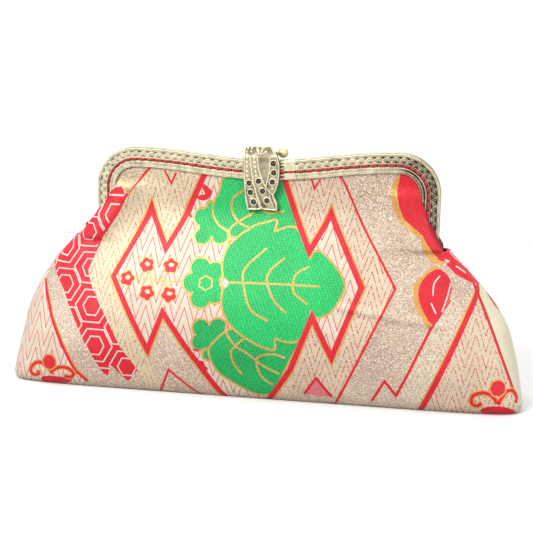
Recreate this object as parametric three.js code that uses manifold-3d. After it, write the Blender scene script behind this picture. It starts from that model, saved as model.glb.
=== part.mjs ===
// Brocade clutch bag on a hinged metal snap frame, in millimetres.
// X runs along the frame, the front faces -Y and +Z is up. The origin is on the
// floor under the middle of the base.

import * as THREE from 'three';
import { mergeVertices } from 'three/addons/utils/BufferGeometryUtils.js';
import Module from 'manifold-3d';

const wasm = await Module();
wasm.setup();

// Metal frame: two channel-shaped arches of pressed sheet
const FRAME_WIDTH = 205;
const FRAME_HEIGHT = 53.5; // hinge axis up to the shoulders
const FRAME_FACE = 11.5; // width of the decorated face
const FRAME_CORNER = 24; // outside radius of the shoulders
const FRAME_DIP = 5.9; // sag of the top bar at its middle
const HALF_DEPTH = 5.2; // closing plane out to the face
const SHEET = 0.8;
const EDGE_ROUND = 1.2;
const INNER_LEG = 7; // width of the hidden leg of the channel
const ARM_END = 1.5; // how far the face reaches below the hinge axis

// Sewing holes and thread
const HOLE_PITCH = 5.3;
const HOLE_WIDTH = 1.5;
const STITCH_LINE = 6.8; // outer edge of the frame to the row of holes
const HOLE_END_MARGIN = 9;
const THREAD = 0.7;

// Hinge: the front half's ear lies outside, the back half's ear inside
const HINGE_HEIGHT = 90;
const EAR_MARGIN = 0.5; // between an ear's rim and the back of a face
const HINGE_CUT = 5.2; // height of the relief above the axis
const JOGGLE = 3.3;
const PIN_RADIUS = 1.2;
const PIN_HEAD_RADIUS = 2.2;
const PIN_HEAD = 0.9;
const PIN_DOME = 0.7; // the domed head's shoulder, as a share of its radius and height

// Clasp: a ribbon-shaped plate on the front half and a ball knob on the back half
const PLATE_TOP = 3.4; // plate's fold line above the top bar
const PLATE_DROP = 29; // how far the plate hangs below the top bar's upper edge
const PLATE_THICK = 2;
const ROOF_RISE = 4;
const ROOF_THICK = 1.4;
const ROOF_LAP = 0.5; // how far the roof reaches down into the plate
const LUG_WIDTH = 8;
const LUG_THICK = 2;
const STONE_RADIUS = 1.55;
const STONE_HEIGHT = 1.2;
const STONE_GIRDLE = 0.48; // height of the straight edge
const STONE_TABLE_RADIUS = 0.93;
const RECESS_DEPTH = 1;
const BALL_RADIUS = 3;
const BALL_X = 10.5;
const BALL_Y = 2;
const BALL_HEIGHT = 4.2; // ball's centre above the top bar
const STEM_LENGTH = 11.5;
const STEM_RADIUS = 1.2;
const NECK_RADIUS = 1.56; // where the stem meets the ball
const FOOT_WIDTH = 4;

// Cloth
const BAG_WIDTH = 301;
const BAG_DEPTH = 63;
const CLOTH = 1.1;
const LINING = 0.8;
const MOUTH_OVERHANG = 2.5; // pouch's top edge beyond the frame, at each side
const TOP_BULGE = 7.4; // how far the upper cloth swells at the hinge line
const SWELL_CURVE = 2.2; // exponent of the swell, which starts below the clasp plate
const TOP_EDGE = 2; // lower edge of the upper cloth above the hinge axis
const TOP_EDGE_SIDE = 3; // the same beside the hinges
const TOP_SIDE_GAP = 7; // upper cloth's free corner to the inner edge of the arm
const TOP_SIDE_EASE = 10; // length over which the lower edge climbs to the corner
const POUCH_EDGE = 1.4; // pouch's top edge above the hinge axis
const POUCH_EDGE_SIDE = -6.5; // the same below the ears
const SWING_ROOM = 0.5;

// Running clearances
const CLEAR = 0.3;
const CLOSING_GAP = 0.4;
const EAR_GAP = 0.4;
const CUT_PAST = 1; // how far a cutting shape reaches past what it cuts

// Handle lengths that make a cubic curve follow a quarter circle, as a share of its radius,
// and half a wave, as a share of its length
const ARC_HANDLE = 0.5523;
const WAVE_HANDLE = 0.3642;

// Mesh fineness
const MERGE_DISTANCE = 1e-4;
const FRAME_STEPS = 52;
const RING_SIDES = 36;
const TOP_COLUMNS = 26;
const SWELL_ROWS = 3;
const ROUND_SIDES = 16;
const HOLE_SIDES = 6;
const STONE_FACETS = 8;
const BALL_STEPS = 8;
const THREAD_SEGMENTS = 3;

const halfWidth = FRAME_WIDTH / 2;
const shoulder = HINGE_HEIGHT + FRAME_HEIGHT;
const barTop = shoulder - FRAME_DIP;
const innerFace = CLOSING_GAP / 2;
const faceBack = HALF_DEPTH - SHEET;
const earRadius = faceBack - EAR_MARGIN;
const outerEar = halfWidth - SHEET;
const innerEar = outerEar - EAR_GAP - SHEET;

const materials = {
    metal: { color: 0xb9a878, roughness: 0.4, metalness: 0.9 },
    stone: { color: 0x101012, roughness: 0.1, metalness: 0.1 },
    brocade: { color: 0xd9c9a6, roughness: 0.6, metalness: 0.1 },
    lining: { color: 0xb01830, roughness: 0.7, metalness: 0 },
    thread: { color: 0xd01828, roughness: 0.7, metalness: 0 },
};

const bag = new THREE.Group();

// Adds one named piece with a material of its own.
function addPiece(name, geometry, look) {
    geometry.computeVertexNormals();
    const mesh = new THREE.Mesh(geometry, new THREE.MeshStandardMaterial(materials[look]));
    mesh.name = name;
    bag.add(mesh);
}

// Turns a closed geometry into a solid for joining and cutting.
function toSolid(geometry) {
    const bare = geometry.clone();
    bare.deleteAttribute('normal');
    bare.deleteAttribute('uv');
    const merged = mergeVertices(bare, MERGE_DISTANCE);
    return new wasm.Manifold(new wasm.Mesh({
        numProp: 3,
        vertProperties: new Float32Array(merged.attributes.position.array),
        triVerts: new Uint32Array(merged.index.array),
    }));
}

function toGeometry(solid) {
    const mesh = solid.getMesh();
    const geometry = new THREE.BufferGeometry();
    geometry.setAttribute('position', new THREE.BufferAttribute(mesh.vertProperties, 3));
    geometry.setIndex(new THREE.BufferAttribute(mesh.triVerts, 1));
    return geometry;
}

function closedGeometry(points, faces) {
    const geometry = new THREE.BufferGeometry();
    geometry.setAttribute('position', new THREE.Float32BufferAttribute(points.flat(), 3));
    geometry.setIndex(faces.flat());
    return geometry;
}

// A block between two corners given as [x, y, z].
function block(low, high) {
    const size = high.map((value, axis) => value - low[axis]);
    const middle = high.map((value, axis) => (value + low[axis]) / 2);
    return toSolid(new THREE.BoxGeometry(...size).translate(...middle));
}

// A round bar along X, centred on the hinge axis.
function hingeBar(radius, from, to) {
    const bar = new THREE.CylinderGeometry(radius, radius, to - from, ROUND_SIDES);
    return toSolid(bar.rotateZ(Math.PI / 2).translate((from + to) / 2, 0, HINGE_HEIGHT));
}

// Mirrors a geometry across the plane Y = 0 and keeps its faces pointing out.
function mirrorFrontToBack(geometry) {
    const mirrored = geometry.clone().scale(1, -1, 1);
    const index = mirrored.index.array;
    for (let i = 0; i < index.length; i += 3) {
        [index[i], index[i + 1]] = [index[i + 1], index[i]];
    }
    return mirrored;
}

// Outer edge of the closed frame: up the left arm, over the top bar, down the right arm.
function frameOutline() {
    const bend = halfWidth - FRAME_CORNER;
    const armTop = shoulder - FRAME_CORNER;
    const arcHandle = FRAME_CORNER * ARC_HANDLE;
    const dipHandle = bend * WAVE_HANDLE;
    const armFoot = HINGE_HEIGHT - ARM_END;
    const at = (x, z) => new THREE.Vector3(x, 0, z);
    const path = new THREE.CurvePath();
    path.add(new THREE.LineCurve3(at(-halfWidth, armFoot), at(-halfWidth, armTop)));
    path.add(new THREE.CubicBezierCurve3(
        at(-halfWidth, armTop), at(-halfWidth, armTop + arcHandle),
        at(-bend - arcHandle, shoulder), at(-bend, shoulder)));
    path.add(new THREE.CubicBezierCurve3(
        at(-bend, shoulder), at(-bend + dipHandle, shoulder), at(-dipHandle, barTop), at(0, barTop)));
    path.add(new THREE.CubicBezierCurve3(
        at(0, barTop), at(dipHandle, barTop), at(bend - dipHandle, shoulder), at(bend, shoulder)));
    path.add(new THREE.CubicBezierCurve3(
        at(bend, shoulder), at(bend + arcHandle, shoulder),
        at(halfWidth, armTop + arcHandle), at(halfWidth, armTop)));
    path.add(new THREE.LineCurve3(at(halfWidth, armTop), at(halfWidth, armFoot)));
    return path;
}

const outline = frameOutline();
const outlineLength = outline.getLength();

// The point at a share of the outline's length, moved inwards by an inset, as { x, z, turn }.
function onFrame(share, inset) {
    const point = outline.getPointAt(share);
    const along = outline.getTangentAt(share);
    return {
        x: point.x + along.z * inset,
        z: point.z - along.x * inset,
        turn: Math.atan2(along.z, along.x),
    };
}

// Channel section: x is the distance out from the closing plane, y the distance in from the edge.
function channelSection(side) {
    const corner = EDGE_ROUND * (1 - Math.SQRT1_2);
    const points = [
        [innerFace, 0],
        [HALF_DEPTH - EDGE_ROUND, 0],
        [HALF_DEPTH - corner, corner],
        [HALF_DEPTH, EDGE_ROUND],
        [HALF_DEPTH, FRAME_FACE],
        [faceBack, FRAME_FACE],
        [faceBack, SHEET],
        [innerFace + SHEET, SHEET],
        [innerFace + SHEET, INNER_LEG],
        [innerFace, INNER_LEG],
    ];
    return new THREE.Shape(points.map(([out, inward]) => new THREE.Vector2(-side * out, inward)));
}

// Shares of the outline's length at which the sewing holes lie, spaced out from the middle.
function holeShares() {
    const step = HOLE_PITCH / outlineLength;
    const limit = 0.5 - HOLE_END_MARGIN / outlineLength;
    const shares = [];
    for (let share = step / 2; share < limit; share += step) {
        shares.push(0.5 - share, 0.5 + share);
    }
    return shares.sort((a, b) => a - b);
}

// One half of the frame; side is -1 for the front and 1 for the back.
function frameHalf(side) {
    let half = toSolid(new THREE.ExtrudeGeometry(channelSection(side), {
        steps: FRAME_STEPS,
        extrudePath: outline,
    }));
    for (const share of holeShares()) {
        const { x, z, turn } = onFrame(share, STITCH_LINE);
        const hole = new THREE.CylinderGeometry(HOLE_WIDTH / 2, HOLE_WIDTH / 2, 3 * SHEET, HOLE_SIDES);
        hole.rotateY(-turn).translate(x, side * (faceBack + SHEET / 2), z);
        half = half.subtract(toSolid(hole));
    }
    for (const end of [-1, 1]) {
        half = cutAtHinge(half, side, end);
        half = half.add(side < 0 ? outerHingeEar(end) : innerHingeEar(end));
        const hole = hingeBar(PIN_RADIUS + CLEAR, halfWidth - 4 * SHEET - EAR_GAP, halfWidth + SHEET);
        half = half.subtract(end > 0 ? hole : hole.mirror([1, 0, 0]));
    }
    return toGeometry(half);
}

// A block given by distances out from the middle, at one end of the frame.
function endBlock(side, end, out, deep, high) {
    const xs = out.map((value) => end * value).sort((a, b) => a - b);
    const ys = deep.map((value) => side * value).sort((a, b) => a - b);
    const zs = high.map((value) => HINGE_HEIGHT + value);
    return block([xs[0], ys[0], zs[0]], [xs[1], ys[1], zs[1]]);
}

// Relieves the hidden leg, and on the back half the edge too, beside the ears.
function cutAtHinge(half, side, end) {
    const inner = halfWidth - FRAME_FACE - SHEET;
    const outer = side < 0 ? outerEar : halfWidth + SHEET;
    const deep = side < 0 ? faceBack : earRadius + CLEAR;
    return half.subtract(endBlock(side, end, [inner, outer], [-SHEET, deep], [-2 * ARM_END, HINGE_CUT]));
}

function outerHingeEar(end) {
    const ear = hingeBar(earRadius, outerEar, halfWidth);
    return end > 0 ? ear : ear.mirror([1, 0, 0]);
}

// The inner ear hangs from a step that joins it to the back half's edge.
function innerHingeEar(end) {
    const ear = hingeBar(earRadius, innerEar, innerEar + SHEET);
    const deep = [innerFace, earRadius];
    const strap = endBlock(1, end, [innerEar, innerEar + SHEET], deep, [0, HINGE_CUT + JOGGLE]);
    const step = endBlock(1, end, [innerEar, outerEar + SHEET / 2], deep, [HINGE_CUT, HINGE_CUT + JOGGLE]);
    return (end > 0 ? ear : ear.mirror([1, 0, 0])).add(strap).add(step);
}

// Rivet through both ears, with a flat head inside and a domed one outside.
function hingeRivet(end) {
    const inside = innerEar - CLEAR - PIN_HEAD;
    const outside = halfWidth + CLEAR;
    const profile = [
        [0, inside],
        [PIN_HEAD_RADIUS, inside],
        [PIN_HEAD_RADIUS, inside + PIN_HEAD],
        [PIN_RADIUS, inside + PIN_HEAD],
        [PIN_RADIUS, outside],
        [PIN_HEAD_RADIUS, outside],
        [PIN_HEAD_RADIUS * PIN_DOME, outside + PIN_HEAD * PIN_DOME],
        [0, outside + PIN_HEAD],
    ];
    const rivet = new THREE.LatheGeometry(
        profile.map(([radius, height]) => new THREE.Vector2(radius, height)), ROUND_SIDES);
    return rivet.rotateZ(-end * Math.PI / 2).translate(0, 0, HINGE_HEIGHT);
}

// Outline of the clasp plate around the middle of the top bar's upper edge: x, and depth
// below the edge as a share of the drop. Three ribbons: two end side by side, one is tucked in.
const plateOutline = [
    [-11.4, -PLATE_TOP / PLATE_DROP], [-11.4, 0.38], [-10.6, 0.72], [-9.2, 0.98], [-8.4, 1.0],
    [-0.9, 0.985], [-0.2, 0.965], [0.5, 0.985], [8.4, 1.0], [9.1, 0.94], [8.3, 0.82], [6.7, 0.7],
    [7.9, 0.62], [9.6, 0.42], [10.2, 0.24], [10.0, 0.04], [8.7, -PLATE_TOP / PLATE_DROP],
];

// Stone centres: x, and depth as a share of the plate's drop.
const stonePlaces = {
    right: [[6.4, 0.05], [6.7, 0.235], [5.9, 0.42]],
    middle: [[-2.3, 0.41], [0.1, 0.61], [2.8, 0.8]],
    left: [[-7.9, 0.455], [-7.1, 0.64], [-5.3, 0.83]],
};

const plateBack = HALF_DEPTH + CLEAR;
const plateFront = plateBack + PLATE_THICK;
const recessFloor = plateFront - RECESS_DEPTH;

function claspPlate() {
    const shape = new THREE.Shape(plateOutline.map(([x, down]) => new THREE.Vector2(x, -down * PLATE_DROP)));
    const face = new THREE.ExtrudeGeometry(shape, { depth: PLATE_THICK, bevelEnabled: false });
    let plate = toSolid(face.rotateX(Math.PI / 2).translate(0, -plateBack, barTop)).add(claspRoof());
    for (const [x, down] of Object.values(stonePlaces).flat()) {
        const radius = STONE_RADIUS + CLEAR;
        const recess = new THREE.CylinderGeometry(radius, radius, 2 * RECESS_DEPTH, HOLE_SIDES + 4);
        plate = plate.subtract(toSolid(recess.translate(x, -plateFront, barTop - down * PLATE_DROP)));
    }
    return toGeometry(plate);
}

// The plate's top bends back over the frame and ends in a lug on the front half's top bar.
function claspRoof() {
    const crest = PLATE_TOP + ROOF_RISE;
    const lugFront = plateFront - ROOF_RISE;
    const lugBack = lugFront - LUG_THICK;
    const profile = [
        [plateFront, PLATE_TOP], [lugFront, crest], [lugBack, crest],
        [lugBack, crest - ROOF_THICK], [lugFront - ROOF_LAP, crest - ROOF_THICK],
        [plateBack, PLATE_TOP - ROOF_LAP], [plateFront, PLATE_TOP - ROOF_LAP],
    ];
    const left = plateOutline[0][0];
    const right = plateOutline[plateOutline.length - 1][0];
    const shape = new THREE.Shape(profile.map(([out, up]) => new THREE.Vector2(-out, up)));
    const strip = new THREE.ExtrudeGeometry(shape, { depth: right - left, bevelEnabled: false });
    strip.rotateX(Math.PI / 2).rotateZ(Math.PI / 2).translate(left, 0, barTop);
    const slant = new THREE.Shape([
        new THREE.Vector2(right, PLATE_TOP), new THREE.Vector2(right + CUT_PAST, PLATE_TOP),
        new THREE.Vector2(right + CUT_PAST, crest + CUT_PAST),
        new THREE.Vector2(right - ROOF_RISE, crest + CUT_PAST),
        new THREE.Vector2(right - ROOF_RISE, crest),
    ]);
    const trim = new THREE.ExtrudeGeometry(slant, { depth: 3 * HALF_DEPTH, bevelEnabled: false });
    trim.rotateX(Math.PI / 2).translate(0, HALF_DEPTH, barTop);
    const lug = block(
        [-LUG_WIDTH / 2, -lugFront, barTop + CLEAR],
        [LUG_WIDTH / 2, -lugBack, barTop + crest - ROOF_THICK / 2]);
    return toSolid(strip).subtract(toSolid(trim)).add(lug);
}

function stone(x, down) {
    const profile = [
        [0, 0], [STONE_RADIUS, 0], [STONE_RADIUS, STONE_GIRDLE],
        [STONE_TABLE_RADIUS, STONE_HEIGHT], [0, STONE_HEIGHT],
    ];
    const gem = new THREE.LatheGeometry(profile.map(([r, h]) => new THREE.Vector2(r, h)), STONE_FACETS);
    return gem.rotateX(Math.PI).translate(x, -recessFloor - CLEAR, barTop - down * PLATE_DROP);
}

// Ball on a tapered stem along X, carried by a foot on the back half's top bar.
function ballKnob() {
    const profile = [new THREE.Vector2(0, 0), new THREE.Vector2(STEM_RADIUS, 0)];
    const neck = Math.asin(NECK_RADIUS / BALL_RADIUS);
    for (let i = 0; i <= BALL_STEPS; i += 1) {
        const angle = neck + (Math.PI - neck) * i / BALL_STEPS;
        const radius = i === BALL_STEPS ? 0 : BALL_RADIUS * Math.sin(angle);
        profile.push(new THREE.Vector2(radius, STEM_LENGTH - BALL_RADIUS * Math.cos(angle)));
    }
    const knob = new THREE.LatheGeometry(profile, ROUND_SIDES);
    const start = BALL_X - STEM_LENGTH;
    knob.rotateZ(-Math.PI / 2).translate(start, BALL_Y, barTop + BALL_HEIGHT);
    const foot = block(
        [start - FOOT_WIDTH / 2, BALL_Y - STEM_RADIUS, barTop + CLEAR],
        [start + FOOT_WIDTH / 2, BALL_Y + STEM_RADIUS, barTop + BALL_HEIGHT + STEM_RADIUS]);
    return toGeometry(toSolid(knob).add(foot));
}

// Thread laid along the holes from one hole to another, on the outside of a face.
function stitching(side, first, last) {
    const out = side * (HALF_DEPTH + CLEAR + THREAD / 2);
    const holes = holeShares().slice(first, last + 1).map((share) => onFrame(share, STITCH_LINE));
    const path = new THREE.CatmullRomCurve3(holes.map(({ x, z }) => new THREE.Vector3(x, out, z)));
    const section = new THREE.Shape();
    section.absarc(0, 0, THREAD / 2, 0, 2 * Math.PI);
    return new THREE.ExtrudeGeometry(section, {
        steps: holes.length - 1,
        extrudePath: path,
        curveSegments: THREAD_SEGMENTS,
    });
}

const smooth = (low, high, value) => THREE.MathUtils.smoothstep(value, low, high);

// Upper cloth: a sheet whose edge lies in the frame's channel, clear of the rivet's inner head,
// and whose lower edge is free.
const lipX = halfWidth - FRAME_FACE;
const topInset = halfWidth - innerEar + CLEAR + PIN_HEAD + CLEAR;
const topSideX = lipX - TOP_SIDE_GAP;

function topLowerEdge(x) {
    const lift = smooth(topSideX - TOP_SIDE_EASE, topSideX, Math.abs(x));
    return HINGE_HEIGHT + THREE.MathUtils.lerp(TOP_EDGE, TOP_EDGE_SIDE, lift);
}

function topSwell(x) {
    return TOP_BULGE * (1 - (x / lipX) ** 2);
}

// Front upper cloth between two depths, each counted in from the back of the frame's face.
function upperCloth(near, far) {
    const startShare = (TOP_EDGE_SIDE + ARM_END) / outlineLength;
    const flatShare = (PLATE_DROP - FRAME_FACE) / (barTop - FRAME_FACE - HINGE_HEIGHT - TOP_EDGE);
    const outside = [];
    for (let i = 0; i <= TOP_COLUMNS; i += 1) {
        const part = i / TOP_COLUMNS;
        const share = startShare + (1 - 2 * startShare) * part;
        const edge = onFrame(share, topInset);
        const lip = onFrame(share, FRAME_FACE);
        const footX = THREE.MathUtils.lerp(-topSideX, topSideX, part);
        const footZ = topLowerEdge(footX);
        const column = [[edge.x, 0, edge.z], [lip.x, 0, lip.z]];
        for (let row = 0; row <= SWELL_ROWS; row += 1) {
            const swelling = row / SWELL_ROWS;
            const down = THREE.MathUtils.lerp(flatShare, 1, swelling);
            column.push([
                THREE.MathUtils.lerp(lip.x, footX, down),
                topSwell(footX) * swelling ** SWELL_CURVE,
                THREE.MathUtils.lerp(lip.z, footZ, down),
            ]);
        }
        outside.push(column);
    }
    return sheetSolid(outside, faceBack - near, faceBack - far);
}

// Closed solid from a grid of [x, swell, z] columns, between two distances from the plane Y = 0.
function sheetSolid(columns, outer, inner) {
    const rows = columns[0].length;
    const count = columns.length * rows;
    const grid = columns.flat();
    const points = [
        ...grid.map(([x, swell, z]) => [x, -(outer + swell), z]),
        ...grid.map(([x, swell, z]) => [x, -(inner + swell), z]),
    ];
    const faces = [];
    const quad = (a, b, c, d) => faces.push([a, b, c], [a, c, d]);
    const at = (column, row) => column * rows + row;
    for (let c = 0; c + 1 < columns.length; c += 1) {
        for (let r = 0; r + 1 < rows; r += 1) {
            const [p, q, s, t] = [at(c, r), at(c, r + 1), at(c + 1, r + 1), at(c + 1, r)];
            quad(p, q, s, t);
            // The inner skin is split along the same diagonal, so both stay parallel.
            quad(s + count, q + count, p + count, t + count);
        }
    }
    const rim = [];
    for (let r = 0; r < rows - 1; r += 1) rim.push(at(0, r));
    for (let c = 0; c < columns.length - 1; c += 1) rim.push(at(c, rows - 1));
    for (let r = rows - 1; r > 0; r -= 1) rim.push(at(columns.length - 1, r));
    for (let c = columns.length - 1; c > 0; c -= 1) rim.push(at(c, 0));
    rim.forEach((corner, i) => {
        const next = rim[(i + 1) % rim.length];
        quad(corner, corner + count, next + count, next);
    });
    return closedGeometry(points, faces);
}

// Pouch: rings from the floor to the hinge line. rise is a share of the height, wide and deep
// run from 0 at the mouth to 1 at the fullest ring, and square is the ring's exponent.
const pouchRings = [
    { rise: 0, wide: 0.91, deep: 0.68, square: 4 },
    { rise: 0.033, wide: 0.97, deep: 0.86, square: 4 },
    { rise: 0.13, wide: 1, deep: 0.97, square: 3.6 },
    { rise: 0.31, wide: 0.97, deep: 1, square: 3 },
    { rise: 0.5, wide: 0.84, deep: 0.86, square: 2.7 },
    { rise: 0.67, wide: 0.64, deep: 0.65, square: 2.5 },
    { rise: 0.82, wide: 0.36, deep: 0.36, square: 2.6 },
    { rise: 1, wide: 0, deep: 0, square: 2.9 },
];

// The upper cloth's free edge sweeps inside this half depth as the frame opens.
const swingDepth = Math.hypot(faceBack - CLEAR + TOP_BULGE, TOP_EDGE);
const pouchWall = CLOTH + CLEAR + LINING;
const mouthWide = halfWidth + MOUTH_OVERHANG;
const mouthDeep = swingDepth + SWING_ROOM + pouchWall;

function pouchRing(ring, offset) {
    const wide = THREE.MathUtils.lerp(mouthWide, BAG_WIDTH / 2, ring.wide);
    const deep = THREE.MathUtils.lerp(mouthDeep, BAG_DEPTH / 2, ring.deep);
    const points = [];
    for (let i = 0; i < RING_SIDES; i += 1) {
        const angle = 2 * Math.PI * i / RING_SIDES;
        const bend = (value) => Math.sign(value) * Math.abs(value) ** (2 / ring.square);
        const x = (wide - offset) * bend(Math.cos(angle));
        const y = (deep - offset) * bend(Math.sin(angle));
        const side = smooth(topSideX, lipX + CLEAR, Math.abs(wide * bend(Math.cos(angle))));
        const edge = HINGE_HEIGHT + THREE.MathUtils.lerp(POUCH_EDGE, POUCH_EDGE_SIDE, side);
        points.push([x, y, edge * ring.rise + offset * (1 - ring.rise)]);
    }
    return points;
}

// Open-topped shell between two offsets from the pouch's outside.
function pouchShell(outer, inner) {
    const levels = [
        ...pouchRings.map((ring) => pouchRing(ring, outer)),
        ...pouchRings.map((ring) => pouchRing(ring, inner)).reverse(),
    ];
    const points = levels.flat();
    const faces = [];
    for (let level = 0; level + 1 < levels.length; level += 1) {
        const climbing = level < pouchRings.length;
        for (let i = 0; i < RING_SIDES; i += 1) {
            const next = (i + 1) % RING_SIDES;
            const [a, b] = [level * RING_SIDES + i, level * RING_SIDES + next];
            const [c, d] = [b + RING_SIDES, a + RING_SIDES];
            // Both skins of the wall are split along the same diagonal, so they stay parallel.
            faces.push(...(climbing ? [[a, b, c], [a, c, d]] : [[a, b, d], [b, c, d]]));
        }
    }
    const floorMiddle = points.push([0, 0, outer]) - 1;
    const insideMiddle = points.push([0, 0, inner]) - 1;
    const lastRing = (levels.length - 1) * RING_SIDES;
    for (let i = 0; i < RING_SIDES; i += 1) {
        const next = (i + 1) % RING_SIDES;
        faces.push([floorMiddle, next, i], [insideMiddle, lastRing + i, lastRing + next]);
    }
    return closedGeometry(points, faces);
}

addPiece('front_frame', frameHalf(-1), 'metal');
addPiece('back_frame', frameHalf(1), 'metal');
addPiece('rivet_left', hingeRivet(-1), 'metal');
addPiece('rivet_right', hingeRivet(1), 'metal');

addPiece('clasp_plate', claspPlate(), 'metal');
for (const [strand, places] of Object.entries(stonePlaces)) {
    places.forEach(([x, down], i) => addPiece(`stone_${strand}_${i + 1}`, stone(x, down), 'stone'));
}
addPiece('ball_knob', ballKnob(), 'metal');

// The front thread stops at each side of the clasp plate, where it dives behind it.
const holeCount = holeShares().length;
const holesLeftOfPlate = holeShares().filter((share) => onFrame(share, STITCH_LINE).x
    < plateOutline[0][0] - THREAD).length;
addPiece('front_stitching_left', stitching(-1, 0, holesLeftOfPlate - 1), 'thread');
addPiece('front_stitching_right', stitching(-1, holeCount - holesLeftOfPlate, holeCount - 1), 'thread');
addPiece('back_stitching', stitching(1, 0, holeCount - 1), 'thread');

const brocadeTop = upperCloth(CLEAR, CLEAR + CLOTH);
const liningTop = upperCloth(2 * CLEAR + CLOTH, 2 * CLEAR + CLOTH + LINING);
addPiece('brocade_front_top', brocadeTop, 'brocade');
addPiece('brocade_back_top', mirrorFrontToBack(brocadeTop), 'brocade');
addPiece('lining_front_top', liningTop, 'lining');
addPiece('lining_back_top', mirrorFrontToBack(liningTop), 'lining');
addPiece('brocade_pouch', pouchShell(0, CLOTH), 'brocade');
addPiece('lining_pouch', pouchShell(CLOTH + CLEAR, pouchWall), 'lining');

export default bag;
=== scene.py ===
# Brocade clutch bag on a hinged snap frame. Lengths are millimetres in the frame's axes until
# make_piece() turns them into metres. The front of the bag faces -Y.

import math

import bpy
import numpy as np
from mathutils import Matrix, Vector, geometry


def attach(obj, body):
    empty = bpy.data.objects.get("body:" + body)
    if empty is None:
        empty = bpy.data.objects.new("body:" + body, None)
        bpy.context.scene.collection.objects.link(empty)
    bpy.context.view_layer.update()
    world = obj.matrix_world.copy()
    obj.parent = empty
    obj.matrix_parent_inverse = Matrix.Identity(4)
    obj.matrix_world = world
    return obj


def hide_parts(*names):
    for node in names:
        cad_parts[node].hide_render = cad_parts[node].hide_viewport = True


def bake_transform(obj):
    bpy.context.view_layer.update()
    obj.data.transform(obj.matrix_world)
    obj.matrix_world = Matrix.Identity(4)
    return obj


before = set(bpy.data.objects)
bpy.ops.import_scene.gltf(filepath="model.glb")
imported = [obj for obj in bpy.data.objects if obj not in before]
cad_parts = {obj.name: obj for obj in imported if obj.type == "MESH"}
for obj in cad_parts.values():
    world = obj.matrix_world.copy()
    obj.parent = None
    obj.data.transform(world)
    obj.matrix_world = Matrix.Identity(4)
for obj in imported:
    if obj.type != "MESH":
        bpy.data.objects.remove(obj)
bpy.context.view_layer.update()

MM = 0.001
TINY = 1e-12
MERGE_DISTANCE = 1e-4
MITRE_LIMIT = 0.35
TURN = 2 * math.pi

# Photograph and camera
PHOTO_SIZE = 533
SENSOR = 36
FOCAL_PIXELS = 930.2
CAMERA_TARGET = (0, 0, 70)
CAMERA_DISTANCE = 560
CAMERA_AZIMUTH = 11.14
CAMERA_ELEVATION = 12
CAMERA_ROLL = 0.4
AIM_RIGHT = 1.3
AIM_UP = 3.55
NEAR_LIMIT = 10

# Metal frame
FRAME_WIDTH = 205
FRAME_FACE = 11.5
FRAME_CORNER = 24
FRAME_DIP = 5.9
SHOULDER = 143.5
HINGE_HEIGHT = 90
HALF_DEPTH = 5.2
SHEET = 0.8
EDGE_ROUND = 1.2
INNER_LEG = 7
ARM_END = 1.5
INNER_FACE = 0.2
EAR_RADIUS = 3.9
EAR_GAP = 0.4
HOLE_PITCH = 5.3
HOLE_RADIUS = 0.75
STITCH_LINE = 6.8
HOLE_END_MARGIN = 9
ARC_HANDLE = 0.5523
WAVE_HANDLE = 0.3642
ARM_POINTS = 60
CURVE_POINTS = 200

BAR_TOP = SHOULDER - FRAME_DIP
ARM_TOP = SHOULDER - FRAME_CORNER
HALF_WIDTH = FRAME_WIDTH / 2
FACE_BACK = HALF_DEPTH - SHEET
BEND = HALF_WIDTH - FRAME_CORNER


def unit(vector):
    return vector / np.linalg.norm(vector)


def view_axes(back):
    """Right, up and back of a camera whose top is upwards."""
    right = unit(np.cross([0, 0, 1], back))
    return right, np.cross(back, right), back


def make_camera():
    """Places the camera and returns what project() needs: position, right, up and back."""
    azimuth, elevation = math.radians(CAMERA_AZIMUTH), math.radians(CAMERA_ELEVATION)
    right, up, back = view_axes(np.array([math.sin(azimuth) * math.cos(elevation),
                                          -math.cos(azimuth) * math.cos(elevation),
                                          math.sin(elevation)]))
    target = np.array(CAMERA_TARGET, float)
    position = target + CAMERA_DISTANCE * back
    right, up, back = view_axes(unit(position - (target + AIM_RIGHT * right + AIM_UP * up)))
    roll = math.radians(CAMERA_ROLL)
    right, up = (math.cos(roll) * right + math.sin(roll) * up,
                 math.cos(roll) * up - math.sin(roll) * right)
    camera = bpy.data.objects.new("camera", bpy.data.cameras.new("camera"))
    camera.data.sensor_width = SENSOR
    camera.data.lens = FOCAL_PIXELS * SENSOR / PHOTO_SIZE
    camera.data.clip_start = NEAR_LIMIT * MM
    turn = Matrix([list(row) for row in np.array([right, up, back]).T]).to_4x4()
    camera.matrix_world = Matrix.Translation(Vector(position * MM)) @ turn
    bpy.context.scene.collection.objects.link(camera)
    bpy.context.scene.camera = camera
    return position, right, up, back


view_from, view_right, view_up, view_back = make_camera()


def project(points):
    """Pixels of the photograph at which points are seen."""
    away = np.asarray(points)[:, :3] - view_from
    distance = -(away @ view_back)
    across = FOCAL_PIXELS * (away @ view_right) / distance
    rise = FOCAL_PIXELS * (away @ view_up) / distance
    return np.stack([PHOTO_SIZE / 2 + across, PHOTO_SIZE / 2 - rise], 1)


def smooth(low, high, value):
    """0 below low and 1 above high, with a soft step between."""
    share = np.clip((np.asarray(value, float) - low) / (high - low), 0, 1)
    return share * share * (3 - 2 * share)


def lerp(start, end, share):
    return start + (end - start) * share


def dome(gap):
    """Height of a half circle over its middle, for gaps as shares of its radius."""
    return np.sqrt(np.clip(1 - gap ** 2, 0, 1))


def circle(radius, start, end, count, closed=False):
    """Evenly spaced points of an arc about the origin, from one angle in degrees to another."""
    angles = np.linspace(math.radians(start), math.radians(end), count, endpoint=not closed)
    return radius * np.stack([np.cos(angles), np.sin(angles)], 1)


def distances(points):
    """Distance of each point from the start of a line, along it."""
    steps = np.linalg.norm(np.diff(points, axis=0), axis=1)
    return np.concatenate([[0], np.cumsum(steps)])


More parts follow.
